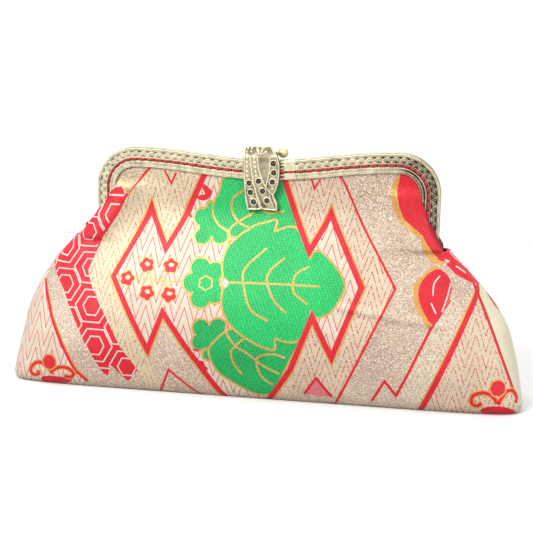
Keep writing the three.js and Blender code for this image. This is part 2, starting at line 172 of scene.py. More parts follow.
def make_piece(name, points, faces, materials, face_materials=None, attributes=(), sharp=False):
    """A mesh object from points in millimetres. attributes are (name, values) at the points."""
    mesh = bpy.data.meshes.new(name)
    mesh.from_pydata((np.asarray(points, float) * MM).tolist(), [], [list(f) for f in faces])
    for material in materials:
        mesh.materials.append(material)
    if face_materials is not None:
        mesh.polygons.foreach_set("material_index", np.asarray(face_materials, np.int32))
    for title, values in attributes:
        values = np.asarray(values, np.float32)
        kind = "FLOAT" if values.ndim == 1 else "FLOAT_VECTOR"
        layer = mesh.attributes.new(title, kind, "POINT")
        layer.data.foreach_set("value" if kind == "FLOAT" else "vector", values.ravel())
    mesh.polygons.foreach_set("use_smooth", [not sharp] * len(mesh.polygons))
    mesh.validate()
    piece = bpy.data.objects.new(name, mesh)
    bpy.context.scene.collection.objects.link(piece)
    return piece


def fit(piece, body, node):
    """Attaches a piece to the body that moves it, and hides the CAD node it stands for."""
    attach(piece, body)
    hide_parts(node)


def inside(points, polygon):
    """Which points lie in a polygon, by counting the edges to their right."""
    polygon = np.asarray(polygon, float)
    low, high = polygon.min(0), polygon.max(0)
    near = np.all((points >= low) & (points <= high), axis=1)
    found = np.zeros(len(points), bool)
    x, y = points[near].T
    hit = np.zeros(len(x), bool)
    for (x0, y0), (x1, y1) in zip(polygon, np.roll(polygon, -1, 0)):
        if y0 != y1:
            crossing = (y0 > y) != (y1 > y)
            hit ^= crossing & (x < (x1 - x0) * (y - y0) / (y1 - y0) + x0)
    found[near] = hit
    return found


def gap_to(points, start, end):
    """Distance from points to the straight line between two ends."""
    along = end - start
    share = np.clip((points - start) @ along / max(along @ along, TINY), 0, 1)
    return np.linalg.norm(points - start - share[:, None] * along, axis=1)


def line_distance(points, line):
    """Distance from points to a line of several stretches."""
    return np.min([gap_to(points, start, end) for start, end in zip(line[:-1], line[1:])], axis=0)


def triangulate(rings, grid, clearance):
    """Triangles over a grid of points, with every closed ring followed by edges."""
    corners, edges = [], []
    for ring in rings:
        first, count = len(corners), len(ring)
        corners.extend(np.asarray(ring, float).tolist())
        edges += [(first + i, first + (i + 1) % count) for i in range(count)]
    keep = np.ones(len(grid), bool)
    for start, end in np.array(corners)[np.array(edges)]:
        low = np.minimum(start, end) - clearance
        high = np.maximum(start, end) + clearance
        near = np.flatnonzero(keep & np.all((grid > low) & (grid < high), axis=1))
        if len(near):
            keep[near[gap_to(grid[near], start, end) < clearance]] = False
    points = [Vector(p) for p in corners + grid[keep].tolist()]
    made = geometry.delaunay_2d_cdt(points, edges, [], 0, MERGE_DISTANCE)
    return np.array([tuple(v) for v in made[0]]), np.array([tuple(f) for f in made[2]])


def hex_grid(low, high, pitch):
    """Points of a triangular grid in a box, as [across, down] rows."""
    step = pitch * math.sqrt(3) / 2
    grid = []
    for i, down in enumerate(np.arange(low[1] + step, high[1], step)):
        start = low[0] + (i % 2) * pitch / 2
        grid += [(across, down) for across in np.arange(start, high[0], pitch)]
    return np.array(grid)


def offset(points, distance, closed=False):
    """A line moved sideways by a distance, to its left, with mitred corners."""
    points = np.asarray(points, float)
    if closed:
        before, after = np.roll(points, 1, 0), np.roll(points, -1, 0)
    else:
        before = np.vstack([2 * points[0] - points[1], points[:-1]])
        after = np.vstack([points[1:], 2 * points[-1] - points[-2]])
    half = 0
    for step in (points - before, after - points):
        step /= np.linalg.norm(step, axis=1)[:, None] + TINY
        half = half + np.stack([-step[:, 1], step[:, 0]], 1)
    scale = 2 / np.maximum((half * half).sum(1), MITRE_LIMIT)
    return points + distance * half * scale[:, None]


def curve_through(points, steps=6, closed=False):
    """A smooth line through points."""
    points = np.asarray(points, float)
    if closed:
        ends = [points[-1], *points, points[0], points[1]]
    else:
        ends = [2 * points[0] - points[1], *points, 2 * points[-1] - points[-2]]
    made = []
    for p0, p1, p2, p3 in zip(ends, ends[1:], ends[2:], ends[3:]):
        for t in np.arange(steps) / steps:
            made.append(0.5 * (2 * p1 + (p2 - p0) * t + (2 * p0 - 5 * p1 + 4 * p2 - p3) * t ** 2
                               + (3 * p1 - p0 - 3 * p2 + p3) * t ** 3))
    if not closed:
        made.append(points[-1])
    return np.array(made)


def resample(points, count):
    """The same line with a given number of evenly spaced points, and its length."""
    points = np.asarray(points, float)
    steps = distances(points)
    at = np.linspace(0, steps[-1], count)
    return np.stack([np.interp(at, steps, column) for column in points.T], 1), steps[-1]


def frame_outline():
    """Outer edge of the frame as a fine line of [x, z] rows."""
    arc, wave = FRAME_CORNER * ARC_HANDLE, BEND * WAVE_HANDLE
    corner = [(-HALF_WIDTH, ARM_TOP), (-HALF_WIDTH, ARM_TOP + arc), (-BEND - arc, SHOULDER),
              (-BEND, SHOULDER)]
    bar = [(-BEND, SHOULDER), (-BEND + wave, SHOULDER), (-wave, BAR_TOP), (0, BAR_TOP)]
    arm = np.linspace(HINGE_HEIGHT - ARM_END, ARM_TOP, ARM_POINTS)
    left = [np.array([(-HALF_WIDTH, z) for z in arm])]
    for curve in (corner, bar):
        t = np.linspace(0, 1, CURVE_POINTS)[1:, None]
        p0, p1, p2, p3 = np.array(curve, float)
        left.append(p0 * (1 - t) ** 3 + 3 * p1 * t * (1 - t) ** 2 + 3 * p2 * t * t * (1 - t)
                    + p3 * t ** 3)
    left = np.vstack(left)
    return np.vstack([left, left[:-1][::-1] * (-1, 1)])


outline = frame_outline()
outline_steps = distances(outline)
OUTLINE_LENGTH = outline_steps[-1]
outline_tangents = np.gradient(outline, outline_steps, axis=0)
outline_columns = (*outline.T, *outline_tangents.T)


def on_frame(along, inset):
    """Points at distances along the outline, moved inwards by an inset, as [x, z] rows."""
    along, inset = np.broadcast_arrays(np.asarray(along, float), np.asarray(inset, float))
    x, z, tx, tz = (np.interp(along, outline_steps, column) for column in outline_columns)
    size = np.hypot(tx, tz)
    return np.stack([x + inset * tz / size, z - inset * tx / size], -1)


def bar_lift(x):
    """How far the top bar's upper edge lies above its middle."""
    bar = outline[outline[:, 0] >= 0][:CURVE_POINTS]
    return np.interp(np.abs(x), bar[:, 0], bar[:, 1] - BAR_TOP)


# Cloth of one side of the bag, as rows of points from the frame's channel down to the base
ROW_PITCH = 1.6
MAIN_COLUMNS = 78
SIDE_COLUMNS = 14
ROW_SAMPLES = 90
FINE_POINTS = 600
LEAST_MAIN = 400
LEAST_SIDE = 10
FLAT_DEPTH = 0.5
CHANNEL_INSET = 3.5
TOP_ROW = BAR_TOP - CHANNEL_INSET
BASE_LEVEL = 0.05
LIP = 4.0
LIP_OVERLAP = 3
FACE_CLOTH = HALF_DEPTH + 0.45
POUCH_TOP = 88.2
SIDE_RISE = {-1: 2.0, 1: 1.4}
SIDE_RISE_FROM = 70
SIDE_START = {-1: 0.13, 1: 0.38}
SIDE_START_BELOW = 0.34
SIDE_START_FROM = 62
SIDE_SHARE = 0.93
DIP_LEVELS = (100, 126)

# Each station is (height at the middle, depth, half width left, half width right, squareness)
STATIONS = np.array([
    (TOP_ROW, 3.9, 99, 99, 3.0), (126.0, 4.0, 99, 99, 3.0), (117.0, 4.3, 99, 99, 3.0),
    (108.0, 5.1, 103, 101, 3.0), (100.0, 7.6, 108, 103, 3.0), (92.0, 11.0, 113, 104.3, 3.0),
    (84.0, 14.8, 121.5, 111.6, 2.9), (75.0, 19.0, 131.5, 121.5, 2.8), (61.0, 24.8, 141.5, 134, 2.8),
    (46.0, 29.2, 149, 143.5, 3.0), (33.0, 31.2, 152, 147.8, 3.5), (22.0, 31.6, 154, 150.5, 4.4),
    (12.0, 31.4, 155.5, 152.3, 5.6), (5.0, 30.4, 156, 153, 7.0), (1.3, 28.6, 155.3, 152.8, 8.0),
    (0.05, 26.2, 154, 151.8, 8.0), (0.05, 13.0, 151, 149.5, 8.0), (0.05, 0.0, 149, 147.5, 8.0),
])
STATION_STEPS = 8
# Edge of the cloth's puff over each arm of the frame: (height, distance from the middle)
PUFF_EDGES = {
    -1: np.array([(86, 118.5), (90, 115.5), (98, 108.5), (104, 103.4), (109, 98.4), (114, 93.7),
                  (118, 90.5)]),
    1: np.array([(84, 108), (89, 104.6), (96, 100.5), (105, 96.5), (112, 93.2), (118, 91)]),
}
PUFF_TOP = 119
PUFF_FADE = 3.5
PUFF_SWELL = 2.2
PUFF_SWELL_INSET = 10
PUFF_SWELL_WIDTH = 8
# Over the hinge the puff's edge comes down to this depth, between two widths and two heights
HINGE_TUCK = 1.5
HINGE_TUCK_WIDTHS = (103.6, 108)
HINGE_TUCK_LEVELS = (88, 101)
ON_FACE = HALF_DEPTH + 0.12
IN_CHANNEL = 3.8


def circle_reach(height, inset):
    """Distance from the middle at which a line parallel to the outline meets a height."""
    radius = FRAME_CORNER - inset
    above = np.clip(height - ARM_TOP, 0, radius)
    return BEND + math.sqrt(max(radius ** 2 - above ** 2, 0))


def pouch_half_row(level, depth, width, square, side):
    """One half of a row below the hinge: from the middle to the side, and on to the seam."""
    t = np.linspace(0, math.pi / 2, ROW_SAMPLES)
    x = width * np.sin(t) ** (2 / square)
    y = -depth * np.cos(t) ** (2 / square)
    y[-1] = 0
    rise = SIDE_RISE[side] * smooth(SIDE_RISE_FROM, POUCH_TOP, level)
    rise = rise * smooth(SIDE_SHARE, 1, x / width)
    fine, _ = resample(np.stack([x, y, level + rise], 1), FINE_POINTS)
    share = lerp(SIDE_START_BELOW, SIDE_START[side], smooth(SIDE_START_FROM, POUCH_TOP, level))
    if depth > FLAT_DEPTH:
        split = np.argmax(fine[:, 1] > -share * depth)
    else:
        split = int(FINE_POINTS * SIDE_SHARE)
    split = min(max(split, LEAST_MAIN), FINE_POINTS - LEAST_SIDE)
    return fine[:split + 1], fine[split:]


def frame_half_row(level, depth, square, side):
    """One half of a row above the hinge: to the edge of the puff, and tucked into the channel."""
    dip = smooth(*DIP_LEVELS, level)
    end_height = level + FRAME_DIP * dip
    reach = circle_reach(end_height, CHANNEL_INSET)
    lip = min(circle_reach(end_height, FRAME_FACE), reach - LIP_OVERLAP)
    puff = float(1 - smooth(PUFF_TOP - PUFF_FADE, PUFF_TOP, level))
    fold = lerp(lip, max(np.interp(level, *PUFF_EDGES[side].T), lip), puff)
    over_hinge = smooth(*HINGE_TUCK_WIDTHS, fold) * (1 - smooth(*HINGE_TUCK_LEVELS, level))
    start_y = lerp(lerp(LIP, FACE_CLOTH, puff), HINGE_TUCK, float(over_hinge))
    s = np.sin(np.linspace(0, math.pi / 2, ROW_SAMPLES))
    x = s * fold
    bulge = lerp(1 - s ** 3, (1 - s ** square) ** (1 / square), puff)
    swell = np.exp(-((x - (fold - PUFF_SWELL_INSET)) / PUFF_SWELL_WIDTH) ** 2)
    y = start_y + (depth - start_y) * bulge
    y = y + PUFF_SWELL * puff * swell * np.sqrt(np.clip(1 - s ** 6, 0, 1))
    main = np.stack([x, -y, level + dip * bar_lift(x)], 1)
    tucked = [(fold, start_y), (fold - 0.7 * puff, lerp(start_y, ON_FACE, 0.5 * puff)),
              (lerp(lip, lip + 0.3, puff), lerp(LIP, ON_FACE, puff)),
              (lerp(lip + 0.4, lip - 0.25, puff), lerp(LIP - 0.05, 4.9, puff)),
              (lip + 0.8, LIP - 0.1), (reach, IN_CHANNEL)]
    side_part = np.array([(x, -y, end_height) for x, y in curve_through(tucked, 5)])
    return main, side_part


def cloth_rows():
    """The table of cloth points, with each row's lengths and the distance down the middle."""
    fine = curve_through(STATIONS, STATION_STEPS)
    down = distances(fine[:, :2])
    at = np.linspace(0, down[-1], int(down[-1] / ROW_PITCH) + 1)
    values = np.stack([np.interp(at, down, column) for column in fine.T], 1)
    table, lengths = [], []
    for level, deep, left, right, square in values:
        level, deep = max(level, BASE_LEVEL), max(deep, 0)
        row, sizes = [], []
        for side, width in ((-1, left), (1, right)):
            if level < POUCH_TOP:
                main, outer = pouch_half_row(level, deep, width, square, side)
            else:
                main, outer = frame_half_row(level, deep, square, side)
            main, main_length = resample(main, MAIN_COLUMNS + 1)
            outer, outer_length = resample(outer, SIDE_COLUMNS + 1)
            half = np.vstack([main, outer[1:]]) * (side, 1, 1)
            row.append(half[::-1] if side < 0 else half[1:])
            sizes += [main_length, outer_length]
        table.append(np.vstack(row))
        lengths.append(sizes)
    return np.array(table), np.array(lengths), at


cloth, row_lengths, row_downs = cloth_rows()
ROWS, COLUMNS = cloth.shape[:2]
MIDDLE = (COLUMNS - 1) // 2
HINGE_ROW = int(np.argmax(cloth[:, MIDDLE, 2] < POUCH_TOP))

# Soft folds and dents of the slack cloth: (x, z) from, (x, z) to, half width, height
FOLDS = [
    ((-86, 112), (-128, 62), 7, 1.5), ((-98, 84), (-136, 40), 6, -0.9),
    ((-70, 108), (-96, 58), 9, -0.8), ((84, 110), (124, 64), 8, 1.2),
    ((96, 82), (138, 36), 6, -0.8), ((66, 104), (88, 56), 10, -0.7),
    ((50, 57), (106, 49), 1.7, 1.7), ((-40, 30), (30, 26), 8, 0.6), ((60, 24), (120, 20), 7, 0.6),
    ((-120, 26), (-60, 22), 8, 0.5), ((-20, 92), (24, 90), 8, 0.7), ((-52, 70), (-46, 30), 14, 0.5),
]
# The folds fade towards the side seams, the base and the frame, over these lengths
FOLD_DEPTHS = (3.0, 9.0)
FOLD_LEVELS = (1, 14)
FOLD_END = 134
FOLD_END_FADE = 26


def add_folds(table):
    """Pushes the folds out of the table's surface and the dents into it."""
    x, z = table[..., 0], table[..., 2]
    swell = np.zeros_like(x)
    for start, end, width, height in FOLDS:
        start, end = np.array(start, float), np.array(end, float)
        along = end - start
        share = ((x - start[0]) * along[0] + (z - start[1]) * along[1]) / (along @ along)
        near = np.clip(share, 0, 1)
        gap = np.hypot(x - start[0] - near * along[0], z - start[1] - near * along[1])
        swell += height * np.exp(-(gap / width) ** 2) * np.clip(1.2 - np.abs(share - 0.5), 0, 1)
    calm = smooth(*FOLD_DEPTHS, -table[..., 1]) * smooth(*FOLD_LEVELS, z)
    table[..., 1] -= swell * (calm * smooth(0, FOLD_END_FADE, FOLD_END - z))


def across_table():
    """Distance across the cloth from its middle, for every point of the table."""
    across = np.zeros((ROWS, COLUMNS))
    for row, sizes in enumerate(row_lengths):
        left, right = (np.concatenate([np.linspace(0, main, MAIN_COLUMNS + 1),
                                       main + np.linspace(0, side, SIDE_COLUMNS + 1)[1:]])
                       for main, side in sizes.reshape(2, 2))
        across[row] = np.concatenate([-left[::-1], right[1:]])
    return across


add_folds(cloth)
full_table = np.dstack([cloth, across_table(), np.repeat(row_downs[:, None], COLUMNS, 1)])


def sample_weights(t):
    """Shares of four neighbouring values in the smooth curve between the middle two."""
    return ((-t + 2 * t * t - t ** 3) / 2, (2 - 5 * t * t + 3 * t ** 3) / 2,
            (t + 4 * t * t - 3 * t ** 3) / 2, (t ** 3 - t * t) / 2)


def sample(table, rows, columns):
    """Smooth values of a table between its rows and columns."""
    rows, columns = np.clip(rows, 0, ROWS - 1), np.clip(columns, 0, COLUMNS - 1)
    r0 = np.minimum(rows.astype(int), ROWS - 2)
    c0 = np.minimum(columns.astype(int), COLUMNS - 2)
    total = 0
    for i, row_weight in enumerate(sample_weights(rows - r0)):
        r = np.clip(r0 + i - 1, 0, ROWS - 1)
        for j, column_weight in enumerate(sample_weights(columns - c0)):
            c = np.clip(c0 + j - 1, 0, COLUMNS - 1)
            total = total + (row_weight * column_weight)[:, None] * table[r, c]
    return total


def table_place(flat):
    """Rows and columns of the table for points of the flat cloth: (across, down)."""
    across, down = np.asarray(flat, float).T
    rows = np.interp(down, row_downs, np.arange(ROWS))
    left_main, left_side, right_main, right_side = (
        np.interp(rows, np.arange(ROWS), column) for column in row_lengths.T)
    main = np.where(across < 0, left_main, right_main)
    side = np.where(across < 0, left_side, right_side)
    size = np.abs(across)
    steps = np.where(size < main, size / main * MAIN_COLUMNS,
                     MAIN_COLUMNS + (size - main) / side * SIDE_COLUMNS)
    return rows, MIDDLE + np.sign(across) * steps


# Part of the table that the camera sees: not the base, nor the first rows and the far sides
SEEN_LEVEL = 0.4
HIDDEN_ROWS = 2
SEEN_SIDE_COLUMNS = 4
visible_rows = np.flatnonzero(cloth[:, MIDDLE, 2] > SEEN_LEVEL)[HIDDEN_ROWS:]
visible_columns = np.arange(SIDE_COLUMNS - SEEN_SIDE_COLUMNS,
                            COLUMNS - SIDE_COLUMNS + SEEN_SIDE_COLUMNS)
visible_pixels = project(cloth[np.ix_(visible_rows, visible_columns)].reshape(-1, 3))
SEARCH_ROUNDS = 5
SEARCH_STEP = 0.05
SEARCH_LIMIT = 3
LEAST_AREA = 0.2


def cross(a, b):
    """Signed area between rows of two-dimensional vectors."""
    return a[:, 0] * b[:, 1] - a[:, 1] * b[:, 0]


def on_cloth(pixels):
    """Points of the flat cloth that the camera sees at pixels of the photograph."""
    pixels = np.asarray(pixels, float)
    nearest = np.array([np.argmin(((visible_pixels - p) ** 2).sum(1)) for p in pixels])
    rows = visible_rows[nearest // len(visible_columns)].astype(float)
    columns = visible_columns[nearest % len(visible_columns)].astype(float)
    for _ in range(SEARCH_ROUNDS):
        here = project(sample(cloth, rows, columns))
        by_row = (project(sample(cloth, rows + SEARCH_STEP, columns)) - here) / SEARCH_STEP
        by_column = (project(sample(cloth, rows, columns + SEARCH_STEP)) - here) / SEARCH_STEP
        miss = pixels - here
        area = cross(by_row, by_column)
        area = np.where(np.abs(area) < LEAST_AREA, LEAST_AREA * np.sign(area) + TINY, area)
        rows = rows + np.clip(cross(miss, by_column) / area, -SEARCH_LIMIT, SEARCH_LIMIT)
        columns = columns + np.clip(cross(by_row, miss) / area, -SEARCH_LIMIT, SEARCH_LIMIT)
    return sample(full_table, rows, columns)[:, 3:5]


# Materials
def paint(red, green, blue):
    """A colour given in the 0-255 values of a picture."""
    parts = [c / 255 for c in (red, green, blue)]
    return (*(c / 12.92 if c < 0.04045 else ((c + 0.055) / 1.055) ** 2.4 for c in parts), 1)


class Nodes:
    """The node tree of a material or a background, put together node by node."""

    def __init__(self, owner):
        owner.use_nodes = True
        self.tree = owner.node_tree
        self.tree.nodes.clear()

    def add(self, kind, inputs=None, **settings):
        node = self.tree.nodes.new(kind)
        for key, value in settings.items():
            setattr(node, key, value)
        for key, value in (inputs or {}).items():
            self.put(node, key, value)
        return node

    def put(self, node, key, value):
        socket = node.inputs[key.replace("_", " ") if isinstance(key, str) else key]
        if isinstance(value, bpy.types.Node):
            value = value.outputs[0]
        if isinstance(value, bpy.types.NodeSocket):
            self.tree.links.new(value, socket)
        else:
            socket.default_value = value

    def calc(self, operation, *values):
        return self.add("ShaderNodeMath", dict(enumerate(values)), operation=operation).outputs[0]

    def times(self, first, second):
        return self.calc("MULTIPLY", first, second)

    def plus(self, first, second):
        return self.calc("ADD", first, second)

    def mix(self, share, first, second):
        inputs = {0: share, 6: first, 7: second}
        return self.add("ShaderNodeMix", inputs, data_type="RGBA").outputs[2]

    def ramp(self, value, low, high):
        node = self.add("ShaderNodeMapRange", {"Value": value, "From Min": low, "From Max": high})
        return node.outputs[0]

    def place(self):
        return self.add("ShaderNodeTexCoord").outputs["Object"]

    def attribute(self, name, output):
        return self.add("ShaderNodeAttribute", attribute_name=name).outputs[output]

    def noise(self, vector, scale, detail=2.0):
        inputs = {"Vector": vector, "Scale": scale, "Detail": detail}
        return self.add("ShaderNodeTexNoise", inputs).outputs["Fac"]

    def wave(self, vector, scale, distortion, detail_scale=1.0):
        inputs = {"Vector": vector, "Scale": scale, "Distortion": distortion,
                  "Detail Scale": detail_scale}
        return self.add("ShaderNodeTexWave", inputs, bands_direction="DIAGONAL").outputs["Fac"]

    def cells(self, vector, scale):
        """A number between 0 and 1 for each small cell."""
        node = self.add("ShaderNodeTexVoronoi", {"Vector": vector, "Scale": scale})
        return self.add("ShaderNodeSeparateColor", {0: node.outputs["Color"]}).outputs[0]

    def stretch(self, vector, scale, turn=0.0):
        inputs = {"Vector": vector, "Scale": scale, "Rotation": (0, 0, math.radians(turn))}
        return self.add("ShaderNodeMapping", inputs).outputs[0]

    def chevrons(self, flat, half_width, slope, pitch):
        """A number that climbs from 0 to 1 over each row of chevrons."""
        x, y, _ = self.add("ShaderNodeSeparateXYZ", {0: flat}).outputs
        zigzag = self.times(self.calc("PINGPONG", x, half_width), slope)
        return self.calc("FRACT", self.calc("DIVIDE", self.plus(y, zigzag), pitch))


class Shader(Nodes):
    """A material with one surface."""

    def __init__(self, name, **settings):
        self.material = bpy.data.materials.new(name)
        super().__init__(self.material)
        self.surface = self.add("ShaderNodeBsdfPrincipled", settings)
        self.output = self.add("ShaderNodeOutputMaterial", {"Surface": self.surface})

    def bump(self, height, strength, distance):
        inputs = {"Height": height, "Strength": strength, "Distance": distance * MM}
        self.put(self.surface, "Normal", self.add("ShaderNodeBump", inputs).outputs[0])


def thread_highlights(shader, flat, floats, share):
    """Slanting rows of short dashes, broken up by the floating threads: the weave's floats, coloured as
    painted highlights of light on the satin.
    """
    across, down = 3.14, 1.31
    x, y, _ = shader.add("ShaderNodeSeparateXYZ", {0: flat}).outputs
    slant = shader.plus(shader.times(x, across), shader.times(y, down))
    rows = shader.calc("SINE", shader.times(y, 2 * down))
    spots = shader.ramp(shader.times(shader.calc("SINE", slant), rows), 0.35, 0.8)
    return shader.times(spots, shader.ramp(floats, 0.3, 0.3 + share))


def cloth_shader(name, dark, light, dash_highlight=None, dash_highlight_share=0.6, metallic=0.0, roughness=0.46,
                 sheen=0.1, relief=0.2, chevrons=None):
    """Woven cloth: long floats of thread with a twill line, optionally lighter dashes painted as
    highlights on the threads, and optionally fine chevrons.
    """
    shader = Shader(name, Metallic=metallic, Roughness=roughness, Sheen_Weight=sheen,
                    Sheen_Roughness=0.4)
    flat = shader.attribute("flat", "Vector")
    floats = shader.noise(shader.stretch(flat, (0.5, 2.6, 1), 8), 1.0, 1.0)
    twill = shader.wave(flat, 0.36, 0.6)
    worn = shader.noise(flat, 0.05, 3.0)
    tone = shader.plus(shader.times(floats, 0.7), shader.times(worn, 0.3))
    colour = shader.mix(shader.ramp(tone, 0.36, 0.64), dark, light)
    # Painted highlight: lighter dashes where light would catch the satin's threads
    if dash_highlight is not None:
        colour = shader.mix(thread_highlights(shader, flat, floats, dash_highlight_share), colour, dash_highlight)
    if chevrons is not None:
        ink, pitch, line, dotted = chevrons
        step = shader.chevrons(flat, 6.0, 3.1, pitch)
        mask = shader.calc("LESS_THAN", step, line)
        shade = shader.calc("PINGPONG", shader.plus(step, line), 0.5)
        shade = shader.times(shader.ramp(shade, 0.34, 0.1), 0.55)
        colour = shader.mix(shade, colour, paint(226, 206, 158))
        if dotted:
            gaps = shader.calc("GREATER_THAN", shader.noise(flat, 0.9, 0.0), 0.47)
            mask = shader.times(mask, gaps)
        colour = shader.mix(shader.times(mask, 0.92), colour, ink)
    shader.put(shader.surface, "Base_Color", colour)
    shader.bump(shader.plus(floats, shader.times(twill, 0.35)), 0.7, relief)
    return shader.material


def lame_shader(name, dark, light, painted_glint, ink=None):
    """Metallic cloth whose tone varies cell by cell; its brightest cells take a painted highlight
    colour, standing in for glints of light on the threads.
    """
    shader = Shader(name, Metallic=0.35, Roughness=0.36, Sheen_Weight=0.1)
    flat = shader.attribute("flat", "Vector")
    grains = shader.cells(shader.stretch(flat, (1.0, 1.5, 1), 6), 2.1)
    fine = shader.noise(shader.stretch(flat, (0.8, 2.4, 1), 5), 1.5, 2.0)
    patches = shader.noise(flat, 0.035, 2.0)
    tone = shader.plus(shader.times(grains, 0.5), shader.times(fine, 0.5))
    tone = shader.plus(tone, shader.times(patches, 0.35))
    colour = shader.mix(shader.ramp(tone, 0.34, 0.86), dark, light)
    # Painted highlight: the brightest grains turn near white, as glints of light on the metal threads
    colour = shader.mix(shader.ramp(grains, 0.86, 0.9), colour, painted_glint)
    if ink is not None:
        step = shader.chevrons(flat, 5.0, 2.2, 5.5)
        gaps = shader.calc("GREATER_THAN", shader.noise(flat, 0.8, 0.0), 0.53)
        mask = shader.times(shader.calc("LESS_THAN", step, 0.3), gaps)
        colour = shader.mix(shader.times(mask, 0.6), colour, ink)
    shader.put(shader.surface, "Base_Color", colour)
    shader.put(shader.surface, "Roughness", shader.ramp(grains, -0.9, 2.2))
    shader.bump(shader.plus(grains, fine), 0.8, 0.22)
    return shader.material


def metal_shader(name, bright, dark, scratch=1.0):
    """Old brass: bright on raised and rubbed places, dark in the hollows; the relief attribute also
    carries painted shade on the right arm and behind the sewing holes.
    """
    shader = Shader(name, Metallic=1.0)
    place = shader.place()
    relief = shader.attribute("relief", "Fac")
    blotch = shader.noise(place, 190.0, 5.0)
    fine = shader.noise(shader.stretch(place, (1, 1, 3)), 900.0, 3.0)
    share = shader.plus(relief, shader.times(shader.calc("SUBTRACT", blotch, 0.5), 0.9))
    shader.put(shader.surface, "Base_Color", shader.mix(shader.ramp(share, 0.05, 0.95), dark, bright))
    shader.put(shader.surface, "Roughness", shader.ramp(shader.plus(fine, blotch), -0.6, 2.6))
    shader.bump(shader.plus(fine, blotch), 0.35 * scratch, 0.1)
    return shader.material


# Kinds of cloth in the pattern
cloth_kinds = {
    "ground": lame_shader("lame_cream", paint(148, 104, 82), paint(236, 216, 192),
                          paint(255, 250, 236)),
    "strip": lame_shader("lame_chevron", paint(176, 138, 112), paint(240, 226, 200),
                         paint(255, 250, 240), ink=paint(176, 70, 60)),
    "tan": lame_shader("lame_tan", paint(164, 134, 98), paint(222, 202, 166), paint(250, 238, 210)),
    "white": cloth_shader("white_hatched", paint(212, 192, 176), paint(244, 234, 220), metallic=0.1,
                          chevrons=(paint(206, 40, 62), 10.4, 0.15, False)),
    "rose": cloth_shader("rose_hatched", paint(190, 160, 140), paint(238, 222, 204), metallic=0.2,
                         chevrons=(paint(190, 34, 60), 8.6, 0.2, True)),
    "cream": cloth_shader("cream_hatched", paint(196, 172, 142), paint(238, 226, 200), metallic=0.2,
                          chevrons=(paint(170, 84, 62), 9.0, 0.17, True)),
    "pale": cloth_shader("pale_cream", paint(226, 214, 178), paint(247, 240, 216), metallic=0.1),
    "red": cloth_shader("red_satin", paint(206, 8, 28), paint(240, 22, 46), dash_highlight=paint(250, 70, 90),
                        dash_highlight_share=0.5, sheen=0.06),
    "green": cloth_shader("green_satin", paint(0, 162, 76), paint(0, 212, 104),
                          dash_highlight=paint(96, 240, 162), dash_highlight_share=0.3, sheen=0.05),
    "dark_green": cloth_shader("dark_green_satin", paint(0, 138, 66), paint(0, 190, 92),
                               dash_highlight=paint(70, 226, 142), dash_highlight_share=0.35, sheen=0.05),
    "gold": cloth_shader("gold_thread", paint(190, 132, 62), paint(228, 178, 104), metallic=0.45,
                         roughness=0.35),
    "line": cloth_shader("white_thread", paint(228, 198, 190), paint(250, 238, 230)),
    "pink": cloth_shader("pink_thread", paint(214, 96, 112), paint(240, 150, 150)),
}
kind_index = {name: i for i, name in enumerate(cloth_kinds)}
lining_satin = cloth_shader("lining_satin", paint(150, 22, 34), paint(190, 40, 52), relief=0.08)

# Pattern of the cloth. Every point is a pixel of the photograph.
DIAMOND_LEFT = [(205, 172), (166, 248.5), (151.7, 207.4), (113.5, 276), (147.3, 350), (162.5, 312),
                (217, 387.7)]
DIAMOND_RIGHT = [(283, 178), (295.5, 214), (309.3, 252), (331.2, 213.5), (361.4, 288), (331.3, 358),
                 (312, 317), (290, 370), (275, 391)]
THIN_RIGHT = [(342.5, 174), (395.3, 289), (339, 397)]
NEXT_RIGHT = [(450, 300), (431.8, 327), (396, 395.7), (384.4, 381.4), (371.6, 401)]
THIN_LEFT = [(147.8, 170), (125, 197), (100, 240)]
LOW_LEFT = [(46, 278), (51, 314.6), (62, 345), (75, 370), (88, 381)]
THICK_RIGHT = [(477.2, 291.7), (423.3, 405.3)]
EDGE_RIGHT = [(477.2, 291.7), (512, 386)]
SMALL_PEAKS = [[(165, 171), (171.3, 183.5), (176.5, 172.5)],
               [(311.4, 178.6), (314.5, 188.8), (320.6, 179)]]
LOW_PEAK = [(162, 387), (168.5, 369.5), (190, 387)]
PINK_PEAK = [(304, 394), (316, 378), (332, 397)]
KIKKO = [(127, 181), (117, 186), (98, 207), (86, 224), (55, 260.4), (61, 283), (70.7, 310),
         (85.9, 346), (107, 378), (111, 365), (120, 374), (128, 381), (138, 370), (119.5, 346),
         (107.6, 321), (92.4, 287.5), (88, 270), (105.4, 230), (117, 210), (127, 193)]
# One cell of the hexagons, the cell below it, and its upper left and lower right neighbours
KIKKO_CELLS = [(91.9, 305.9), (94.6, 345.5), (65.3, 282.1), (122, 327)]
CARTOUCHE_RED = [(403.3, 178), (397, 190.8), (399.2, 207), (404.3, 219.4), (414, 228),
                 (422.6, 235.7), (426.7, 243.9), (432, 252), (439, 260.2), (446, 262)]
CARTOUCHE_GOLD = [(398, 174), (391, 186.7), (392, 207), (398, 219), (410, 231.6), (420.6, 239),
                  (422.6, 252), (431, 263), (443, 265)]
LOBE_RED = [(440, 269), (425.7, 276.3), (418.6, 289.6), (420.6, 306), (432.9, 325.3), (446, 307),
            (452, 284)]
LOBE_GOLD = [(439, 266), (421.6, 276), (413.5, 286.5), (414.5, 306), (422.6, 320), (431.8, 327)]
LOBE_STROKES = [[(440, 276), (434, 284), (433, 296)], [(451, 283), (447, 298), (442, 312)],
                [(431, 303), (436, 314)], [(445, 260), (453, 264), (453, 272)]]
RIGHT_RED = [(448, 246), (470, 262), (480, 276), (470, 282), (455, 274), (446, 264)]
RIGHT_STROKES = [[(449, 250), (455, 258), (466, 262)], [(456, 266), (466, 273)]]
